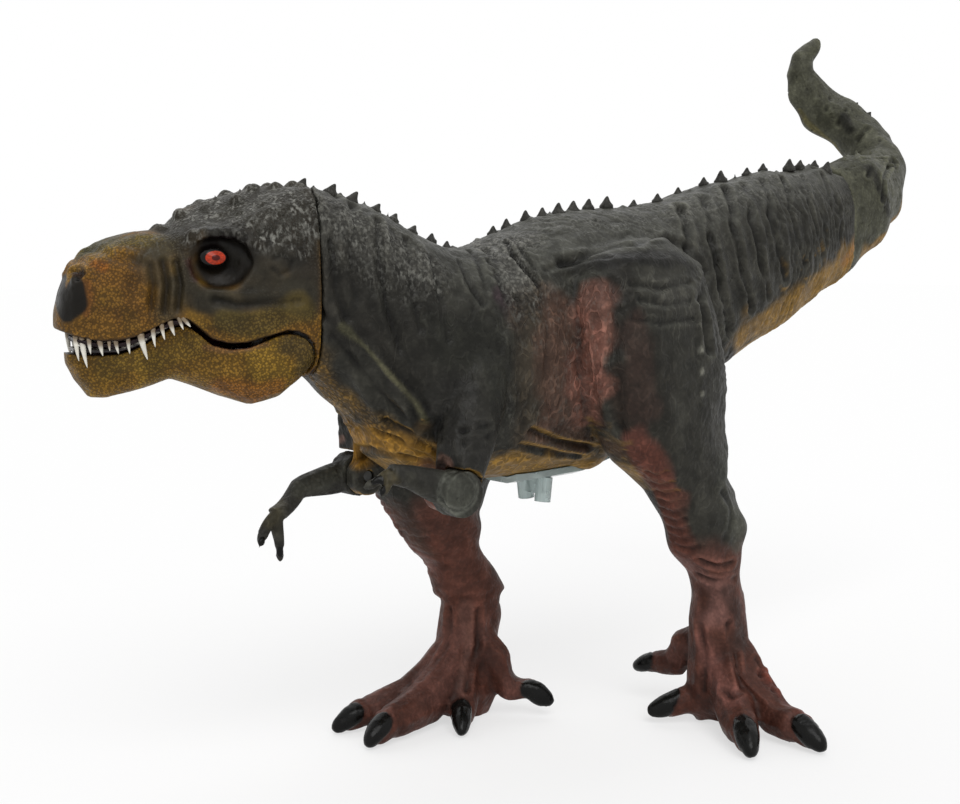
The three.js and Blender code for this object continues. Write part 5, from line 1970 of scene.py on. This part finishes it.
@dataclass
class Skull:
    """The upper head: snout, brow, eye sockets and cheeks."""

    voxel: float = 0.5
    crown: Pixels = (
        (147, 229), (157, 224), (168, 227), (178, 212), (193, 202), (224, 200), (236, 199), (250, 185),
        (262, 188), (275, 182), (290, 184), (300, 183),
    )
    bumps: Pixels = ((157, 226), (179, 214), (236, 200), (250, 188), (275, 185), (292, 186))
    nose: Pixels = ((60, 286), (61, 300), (67, 310), (75, 303), (73, 288))
    socket: Pixels = ((205, 254), (216, 246), (234, 248), (243, 259), (236, 272), (216, 276), (205, 266))
    tugs: tuple[Pull, ...] = (
        Pull((196, 208), (2, 12), 12.0), Pull((232, 202), (1, 12), 11.0), Pull((262, 192), (0, 5), 8.0),
        Pull((288, 182), (0, 4), 8.0), Pull((78, 262), (2, 3), 9.0), Pull((100, 244), (1, 4), 9.0),
    )
    snout_start: float = 27.0
    crown_rise: float = 9.0

    def build(self, finish: Finish) -> None:
        """Sculpts and paints the skull.

        Args:
            finish: The material.
        """
        skin = Skin(("skull",), self.voxel, "6a4b1b", HEAD_PLANE, smoothing=14)
        skin.shave(skin.away_from_photo_line(self.crown) < 4.5, 0.1)
        skin.pull(*self.tugs)
        self._sculpt(skin)
        self._colour_top(skin)
        self._colour_side(skin)
        skin.shade_relief(0.55, 0.5, 5)
        skin.done(Body.HEAD, finish)

    def _sculpt(self, skin: Skin) -> None:
        """Brow ridges, sockets, nostrils and folds.

        Args:
            skin: The skin to work on.
        """
        skin.lump(self.bumps, 2.3, 1.3)
        skin.lump(((192, 234), (204, 232), (216, 232), (228, 234), (240, 237), (252, 241)), 2.0, 0.8)
        skin.lump(((262, 244), (276, 248), (292, 253)), 1.8, 0.6)
        top = ((205, 207), (220, 214), (240, 212), (262, 204), (280, 210), (255, 222), (230, 222))
        skin.lump(top, 1.6, 0.5)
        skin.crease(
            Crease(((192, 248), (204, 243), (222, 242), (240, 249), (250, 262)), 1.3, 0.5, 0.1),
            Crease(((190, 258), (196, 274), (212, 284), (234, 282), (250, 266)), 1.5, 0.4, 0.1),
            Crease(((72, 271), (78, 269), (83, 273), (78, 278)), 0.8, 1.0),
            Crease(((150, 265), (153, 285), (150, 310)), 0.9, 0.7),
            Crease(((163, 262), (167, 285), (165, 312)), 0.9, 0.7),
            Crease(((176, 262), (180, 285), (178, 308)), 0.9, 0.7),
            Crease(((274, 258), (283, 255), (291, 261), (290, 270), (281, 274), (273, 268)), 0.7, 0.6),
            Crease(((215, 300), (240, 305), (270, 303), (300, 300)), 1.2, 0.7),
            Crease(((85, 250), (110, 256), (140, 262)), 1.3, 0.6),
        )
        skin.rumple(2.4, 0.2, seed=1.0)

    def _colour_top(self, skin: Skin) -> None:
        """Sprays the top of the snout, the crown and the back of the head.

        Args:
            skin: The skin to work on.
        """
        skin.mark("Grain", 1.0, 1.0)
        skin.coat(ease(wander(skin.rest, 5 * MM, 5.0), 0.0, 0.6), "74591f", 0.6)
        skin.spray(
            Spray(((98, 247), (125, 240), (150, 240), (175, 238)), 4.0, "45431f", 0.7),
            Spray(((84, 252), (106, 238), (127, 233), (147, 229), (165, 226)), 2.6, "3e3d20", 0.8),
            Spray(((170, 228), (200, 216), (240, 208), (290, 198)), 7.0, "2b2a25", 0.97),
            Spray(((200, 225), (250, 225), (300, 222)), 6.5, "2d2c27", 0.97),
            Spray(((258, 262), (275, 260), (292, 256)), 5.0, "2b2821", 0.97),
            Spray(((280, 240), (302, 250), (304, 290)), 6.5, "25231e", 0.97),
            Spray(((255, 285), (280, 290), (304, 300)), 5.5, "2a271f", 0.95),
        )
        ahead, _, rise = skin.plane.local(skin.rest).T / MM
        crown = ease(ahead, self.snout_start + 3, self.snout_start - 3)
        crown *= ease(rise, self.crown_rise - 1, self.crown_rise + 3)
        skin.coat(crown, "2b2a25", 0.97)
        rough = skin.near(((185, 215), (220, 208), (260, 200), (300, 205)), 7.0)
        rough = np.maximum(rough, 0.8 * crown)
        rough = np.maximum(rough, skin.near(((192, 236), (228, 235), (262, 242), (302, 248)), 2.8))
        skin.mark("Dust", rough, 1.0)
        skin.mark("Dust", skin.near(((100, 250), (150, 240)), 5.0), 0.35)
        smooth = skin.near(((270, 265), (290, 275), (298, 292)), 6.5)
        skin.mark("Grain", smooth, 0.2)

    def _colour_side(self, skin: Skin) -> None:
        """Sprays the snout's side, the cheek, the socket and the nose.

        Args:
            skin: The skin to work on.
        """
        skin.spray(
            Spray(((155, 262), (168, 285), (170, 305)), 4.4, "352e20", 0.92),
            Spray(((160, 250), (172, 256), (182, 268)), 3.0, "3a3322", 0.85),
            Spray(((180, 285), (200, 300), (225, 310)), 4.5, "2f2a1f", 0.92),
            Spray(((190, 240), (184, 262), (190, 285)), 3.0, "2a261d", 0.9),
            Spray(((205, 300), (235, 300), (262, 296)), 4.2, "28251d", 0.95),
            Spray(((222, 322), (250, 325), (280, 318), (305, 312)), 3.4, "4d411e", 0.85),
            Spray(((110, 275), (122, 290), (128, 312)), 4.6, "5d3f1b", 0.5),
            Spray(((94, 263), (103, 267)), 1.0, "96581f", 0.5),
            Spray(((86, 284), (87, 300), (86, 314)), 1.2, "6c3f1e", 0.5),
            Spray(((70, 268), (78, 264), (86, 268)), 0.8, "8a6a38", 0.5),
            Spray(((78, 273),), 1.2, "1c100c", 0.95),
            Spray(self.nose, 2.9, "10100e", 0.98, firm=True),
            Spray(self.socket, 5.4, "12100d", 0.98),
            Spray(((222, 250), (240, 254)), 2.0, "1d1b17", 0.6),
            Spray(((190, 262), (196, 278)), 1.4, "35181a", 0.5),
        )
        nose = skin.near(self.nose, 3.6)
        socket = skin.near(self.socket, 5.2)
        folds = skin.near(((155, 262), (168, 285), (180, 300), (215, 300), (250, 298)), 4.8)
        skin.mark("Grain", np.maximum(nose, socket), 0.0)
        skin.mark("Dust", np.maximum(nose, socket), 0.0)
        skin.mark("Gloss", np.maximum(nose, socket), 0.3)
        skin.mark("Grain", folds, 0.25)
        skin.coat(ease(skin.normals[:, 2], -0.35, -0.8), "120c0d", 0.95)
        skin.mark("Grain", ease(skin.normals[:, 2], -0.35, -0.8), 0.1)


@dataclass
class Jaw:
    """The lower jaw with its lip and chin."""

    voxel: float = 0.5
    tugs: tuple[Pull, ...] = (
        Pull((78, 382), (4, -1), 7.0), Pull((140, 387), (0, 3), 9.0), Pull((255, 400), (0, 3), 10.0),
    )

    def build(self, finish: Finish) -> None:
        """Sculpts and paints the jaw.

        Args:
            finish: The material.
        """
        skin = Skin(("lower_jaw",), self.voxel, "6c501b", HEAD_PLANE, smoothing=14)
        skin.pull(*self.tugs)
        skin.rumple(2.6, 0.22, seed=6.0)
        skin.mark("Grain", 1.0, 1.0)
        skin.coat(ease(wander(skin.rest, 5 * MM, 5.0), 0.0, 0.6), "7a6020", 0.6)
        skin.spray(
            Spray(((225, 388), (250, 393), (275, 388)), 4.0, "895520", 0.6),
            Spray(((290, 345), (303, 345), (305, 368)), 3.5, "453a1f", 0.8),
            Spray(((110, 365), (150, 362), (190, 345)), 3.0, "64501f", 0.6),
        )
        top = ease(skin.normals[:, 2], 0.5, 0.85)
        skin.coat(top, "150d10", 0.96)
        skin.mark("Grain", top, 0.1)
        skin.mark("Gloss", top, 0.4)
        skin.spray(Spray(((205, 347), (222, 351), (245, 350), (268, 344)), 0.6, "75503a", 0.4))
        skin.shade_relief(0.55, 0.5, 5)
        skin.done(Body.JAW, finish)


@dataclass
class Mouth:
    """Gums, teeth and tongue.

    A tooth is the pixels of its root and tip in the photograph, and its breadth in pixels.
    """

    voxel: float = 0.3
    sides: int = 14
    rings: int = 12
    sink: float = 1.1
    gum_depth: float = 1.3
    teeth: tuple[tuple[float, ...], ...] = (
        (59, 326, 58, 334, 4), (66, 331, 66, 352, 5.5), (74, 334, 75, 361, 6.5), (89, 342, 89, 354, 5),
        (100, 344, 101, 356, 6), (109, 345, 109, 351, 4), (116, 344, 117, 354, 5), (128, 341, 128, 354, 5),
        (141, 337, 144, 360, 7.5), (153, 331, 153, 347, 5.5), (162, 328, 163, 340, 5),
        (171, 325, 173, 336, 6), (180, 321, 182, 330, 5), (189, 316, 193, 323, 6),
    )

    def build(self, enamel: Finish, flesh: Finish) -> None:
        """Builds the gums, both rows of teeth and the tongue.

        Args:
            enamel: The teeth's material.
            flesh: The tongue's and the gum's material.
        """
        gum = Skin(("upper_teeth",), self.voxel, "1a0f11", HEAD_PLANE, smoothing=6)
        over = np.clip(gum.root_depth(-1.0) - self.gum_depth, 0, None)
        gum.co[:, 2] += over * 0.92 * MM
        gum.soften(4)
        gum.settle()
        gum.mark("Grain", 1.0, 0.2)
        self._upper(gum, enamel)
        gum.done(Body.HEAD, flesh)
        lower = Skin(("lower_teeth",), self.voxel, "e4dfd0", HEAD_PLANE, smoothing=4)
        lower.coat(ease(lower.root_depth(1.0), 1.5, 0.7), "1c1012", 1.0)
        lower.done(Body.JAW, enamel)
        tongue = Skin(("tongue",), 0.5, "3a171b", HEAD_PLANE, smoothing=20)
        tongue.rumple(2.2, 0.15)
        tongue.mark("Grain", 1.0, 0.3)
        tongue.done(Body.JAW, flesh)

    def _upper(self, gum: Skin, enamel: Finish) -> None:
        """Hangs the upper teeth from the gum, on both sides of the head.

        Args:
            gum: The upper gum.
            enamel: The teeth's material.
        """
        forward = Vector(HEAD_PLANE.forward())
        slant = forward.dot(VIEW.axes()[0])
        cones = []
        for u, v, tip_u, tip_v, breadth in self.teeth:
            spots = gum.on_photo(((u, v),))
            if not len(spots):
                LOG.warning("upper teeth: no gum at %s", (u, v))
                continue
            scale = (Vector(spots[0]) - VIEW.eye()).length / VIEW.focal
            hang = forward * ((tip_u - u) / slant * scale) - UP * ((tip_v - v) * scale)
            roots = [Vector(spots[0]), Vector(HEAD_PLANE.reflect(spots)[0])]
            if abs((spots[0] - np.array(HEAD_PLANE.centre)) @ HEAD_PLANE.side()) < MM:
                roots.pop()
            cones.extend(self._tooth(root, hang, breadth * scale) for root in roots)
        row = join_as(cones, "upper_teeth_row")
        row.data.materials.append(enamel)
        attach(row, Body.HEAD.value)
        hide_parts("upper_teeth")
        LOG.info("%s: %d teeth", row.name, len(cones))

    def _tooth(self, root: Vector, hang: Vector, breadth: float) -> Piece:
        """Models one tooth: a slim cone that curves back, cream at its root.

        Args:
            root: Where it leaves the gum.
            hang: From the root to the tip.
            breadth: Its breadth at the gum.

        Returns:
            The tooth, with its place in its mesh.
        """
        tooth = new_ball(self.sides, self.rings)
        down = hang.normalized()
        forward = Vector(HEAD_PLANE.forward())
        along = (forward - down * forward.dot(down)).normalized()
        side = down.cross(along)
        total = hang.length + self.sink * MM
        colours = tooth.data.color_attributes.new("Paint", "FLOAT_COLOR", "POINT")
        for i, vertex in enumerate(tooth.data.vertices):
            x, y, z = vertex.co
            far = min(max(z + 0.5, 0.0), 1.0)
            ring = max(math.hypot(x, y), 1e-6)
            reach = 0.5 * (1 - far) ** 0.7 * (1 + 0.3 * far) if far > 0.04 else ring
            reach = 0.0 if ring < 1e-5 else reach
            vertex.co = (
                root + down * (far * total - self.sink * MM)
                + along * (x / ring * reach * breadth - 0.12 * far * far * hang.length)
                + side * (y / ring * reach * breadth * 0.8)
            )
            pale = float(ease(np.array(far * total / MM), self.sink, self.sink + 1.4))
            colour = ink("84735c") * (1 - pale) + ink("e2ded2") * pale
            colours.data[i].color = (*colour, 1)
        turn_out(tooth)
        return tooth


@dataclass
class Eye:
    """One painted eye in its socket; its sizes are in millimetres and degrees."""

    side: str
    sign: float
    radius: float = 3.0
    sides: int = 64
    rings: int = 48
    iris: float = 45.0
    pupil: float = 16.0
    tint: str = "b8381c"
    dark: str = "4a0c08"
    rim: str = "0b0908"

    def build(self, finish: Finish) -> None:
        """Models the eyeball and paints its iris and pupil.

        Args:
            finish: The eye's material.
        """
        low, high = (Vector(c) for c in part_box(f"{self.side}_eye"))
        outward = Vector(HEAD_PLANE.side()) * self.sign
        centre = (low + high) / 2 + outward * (0.1 * MM)
        eye = new_ball(self.sides, self.rings, self.radius * MM)
        eye.name = f"{self.side}_eyeball"
        along = outward.cross(UP).normalized()
        colours = eye.data.color_attributes.new("Paint", "FLOAT_COLOR", "POINT")
        for i, vertex in enumerate(eye.data.vertices):
            x, y, z = vertex.co
            angle = math.degrees(math.acos(max(-1.0, min(1.0, z / (self.radius * MM)))))
            spokes = 0.8 + 0.35 * noise.noise(Vector((math.atan2(y, x) * 6, angle / 20, 0)))
            if angle < self.pupil:
                colour = ink(self.dark)
            elif angle < self.iris:
                colour = ink(self.tint) * spokes
            else:
                colour = ink(self.rim)
            colours.data[i].color = (*np.clip(colour, 0, 1), 1)
            bulge = 0.55 + 0.12 * ease(np.array(angle), self.iris, 0.0)
            vertex.co = centre + along * (x * 1.1) + UP * (y * 0.74) + outward * (z * float(bulge))
        turn_out(eye)
        eye.data.materials.append(finish)
        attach(eye, Body.HEAD.value)
        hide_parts(f"{self.side}_eye")


@dataclass
class Studio:
    """A plain pale room: floor, world, lamps and camera."""

    floor_colour: tuple[float, float, float, float] = (0.95, 0.95, 0.95, 1.0)
    floor_size: float = 8.0
    sky: float = 0.5
    own_light: float = 0.62

    def build(self) -> None:
        """Adds floor, world, lamps and camera."""
        VIEW.place_camera()
        scene = bpy.context.scene
        scene.view_settings.view_transform = "Standard"
        self._floor()
        self._world()
        self._lamp("key_lamp", (-0.45, -0.75, 1.0), 1.45, 40.0)
        self._lamp("back_lamp", (0.35, 0.6, 1.1), 0.7, 60.0)

    def _floor(self) -> None:
        """A wide floor that reads white to the camera yet keeps the shadow."""
        bpy.ops.object.select_all(action="DESELECT")
        bpy.ops.mesh.primitive_plane_add(size=self.floor_size)
        floor = bpy.context.object
        floor.name = "studio_floor"
        bench = NodeBench("studio_floor")
        bench.shader.inputs["Base Color"].default_value = self.floor_colour
        bench.shader.inputs["Roughness"].default_value = 1.0
        bench.shader.inputs["Specular IOR Level"].default_value = 0.0
        glow = bench.add("ShaderNodeEmission", Strength=1.0)
        mix = bench.add("ShaderNodeMixShader")
        bench.link(bench.math("MULTIPLY", seen_white(bench.tree), self.own_light), mix.inputs["Fac"])
        bench.link(bench.shader.outputs[0], mix.inputs[1])
        bench.link(glow.outputs[0], mix.inputs[2])
        bench.link(mix.outputs[0], bench.tree.nodes["Material Output"].inputs["Surface"])
        floor.data.materials.append(bench.material)

    def _world(self) -> None:
        """A soft even sky that the camera, gloss and clear parts see as white."""
        world = bpy.data.worlds.new("studio")
        bpy.context.scene.world = world
        world.use_nodes = True
        nodes, links = world.node_tree.nodes, world.node_tree.links
        lit = nodes["Background"]
        lit.inputs["Strength"].default_value = self.sky
        lit.inputs["Color"].default_value = (1, 1, 1, 1)
        seen = nodes.new("ShaderNodeBackground")
        seen.inputs["Color"].default_value = (1, 1, 1, 1)
        seen.inputs["Strength"].default_value = 1.0
        mix = nodes.new("ShaderNodeMixShader")
        links.new(seen_white(world.node_tree), mix.inputs["Fac"])
        links.new(lit.outputs[0], mix.inputs[1])
        links.new(seen.outputs[0], mix.inputs[2])
        links.new(mix.outputs[0], nodes["World Output"].inputs["Surface"])

    def _lamp(self, name: str, place: tuple[float, float, float], strength: float, softness: float) -> None:
        """Adds a far soft lamp that shines toward the figure.

        Args:
            name: The lamp's name.
            place: Where it shines from.
            strength: Its light on a face turned to it.
            softness: Its breadth in degrees.
        """
        data = bpy.data.lights.new(name, "SUN")
        data.energy = strength
        data.angle = math.radians(softness)
        lamp = bpy.data.objects.new(name, data)
        bpy.context.scene.collection.objects.link(lamp)
        lamp.location = place
        lamp.rotation_euler = (-Vector(place)).to_track_quat("-Z", "Y").to_euler()


def seen_white(tree: bpy.types.NodeTree) -> Socket:
    """1 for rays from the camera, from gloss or through clear parts, which see the background as white.

    Args:
        tree: The node tree to add to.

    Returns:
        1 for those rays and 0 for others.
    """
    path = tree.nodes.new("ShaderNodeLightPath")
    total = path.outputs["Is Camera Ray"]
    for kind in ("Is Glossy Ray", "Is Transmission Ray"):
        most = tree.nodes.new("ShaderNodeMath")
        most.operation = "MAXIMUM"
        tree.links.new(total, most.inputs[0])
        tree.links.new(path.outputs[kind], most.inputs[1])
        total = most.outputs[0]
    return total


def left_forearm() -> Forearm:
    """The near forearm: a round elbow with a rim, and an olive hand.

    Returns:
        The forearm, not yet built.
    """
    turns = (step / 8 * math.pi for step in range(17))
    ring = tuple((458 + 19 * math.cos(turn), 491 + 20 * math.sin(turn)) for turn in turns)
    return Forearm(
        "left", Body.LEFT_ARM,
        (
            Spray(((452, 486), (462, 492), (466, 500)), 4.8, "40413a", 0.8, Twin.NONE),
            Spray(ring, 0.8, "62635b", 0.6, Twin.NONE),
            Spray(((385, 475), (392, 485)), 3.0, "4a4330", 0.7, Twin.NONE),
        ),
        (((377, 480),), ((380, 490),)),
        (Crease(ring, 0.6, 0.35, 0.5, Twin.NONE),),
    )


def dress_nodes() -> None:
    """Gives the pins, the plug and the clear support their finishes."""
    pin = MouldedFinish("pin_plastic", "2a2b28").build()
    for node in ("left_elbow_pin", "right_elbow_pin", "jaw_pin", "neck_plug"):
        obj = frame["nodes"][node]
        obj.data.materials.clear()
        obj.data.materials.append(pin)
    support = frame["nodes"]["belly_support"]
    support.data.materials.clear()
    support.data.materials.append(ClearFinish().build())


def main() -> None:
    """Builds the figure piece by piece, then the studio."""
    logging.basicConfig(level=logging.INFO, format="%(message)s")
    hide = SkinFinish("vinyl_skin").build()
    # The face's gap colour sets its painted shade between pebbles, and its lift the painted highlight on
    # their tops.
    face = SkinFinish(
        "vinyl_face", pebble=0.62, relief=0.16, gap_shade=0.52, lift=0.4, gap="1f180c", dust="8b8a83", rub=0.8,
    ).build()
    soft = SkinFinish("vinyl_tongue", pebble=0.7, relief=0.1, gap_shade=0.3, roughness=0.35).build()
    Hide().build(hide)
    TailEnd().build(hide)
    left_forearm().build(hide)
    Forearm(
        "right", Body.RIGHT_ARM,
        (
            Spray(((275, 505), (270, 520)), 3.0, "45402f", 0.6, Twin.NONE),
            Spray(((298, 486), (322, 474), (345, 466)), 3.6, "42423a", 0.7, Twin.NONE),
        ),
        (((262, 542),), ((280, 553),)), tugs=(Pull((266, 525), (-5, 2), 7.0), Pull((283, 492), (0, 7), 8.0)),
    ).build(hide)
    Skull().build(face)
    Jaw().build(face)
    Mouth().build(ToothFinish().build(), soft)
    eye_paint = EyeFinish().build()
    Eye("left", 1.0).build(eye_paint)
    Eye("right", -1.0).build(eye_paint)
    dress_nodes()
    Studio().build()


if __name__ == "__main__":
    main()
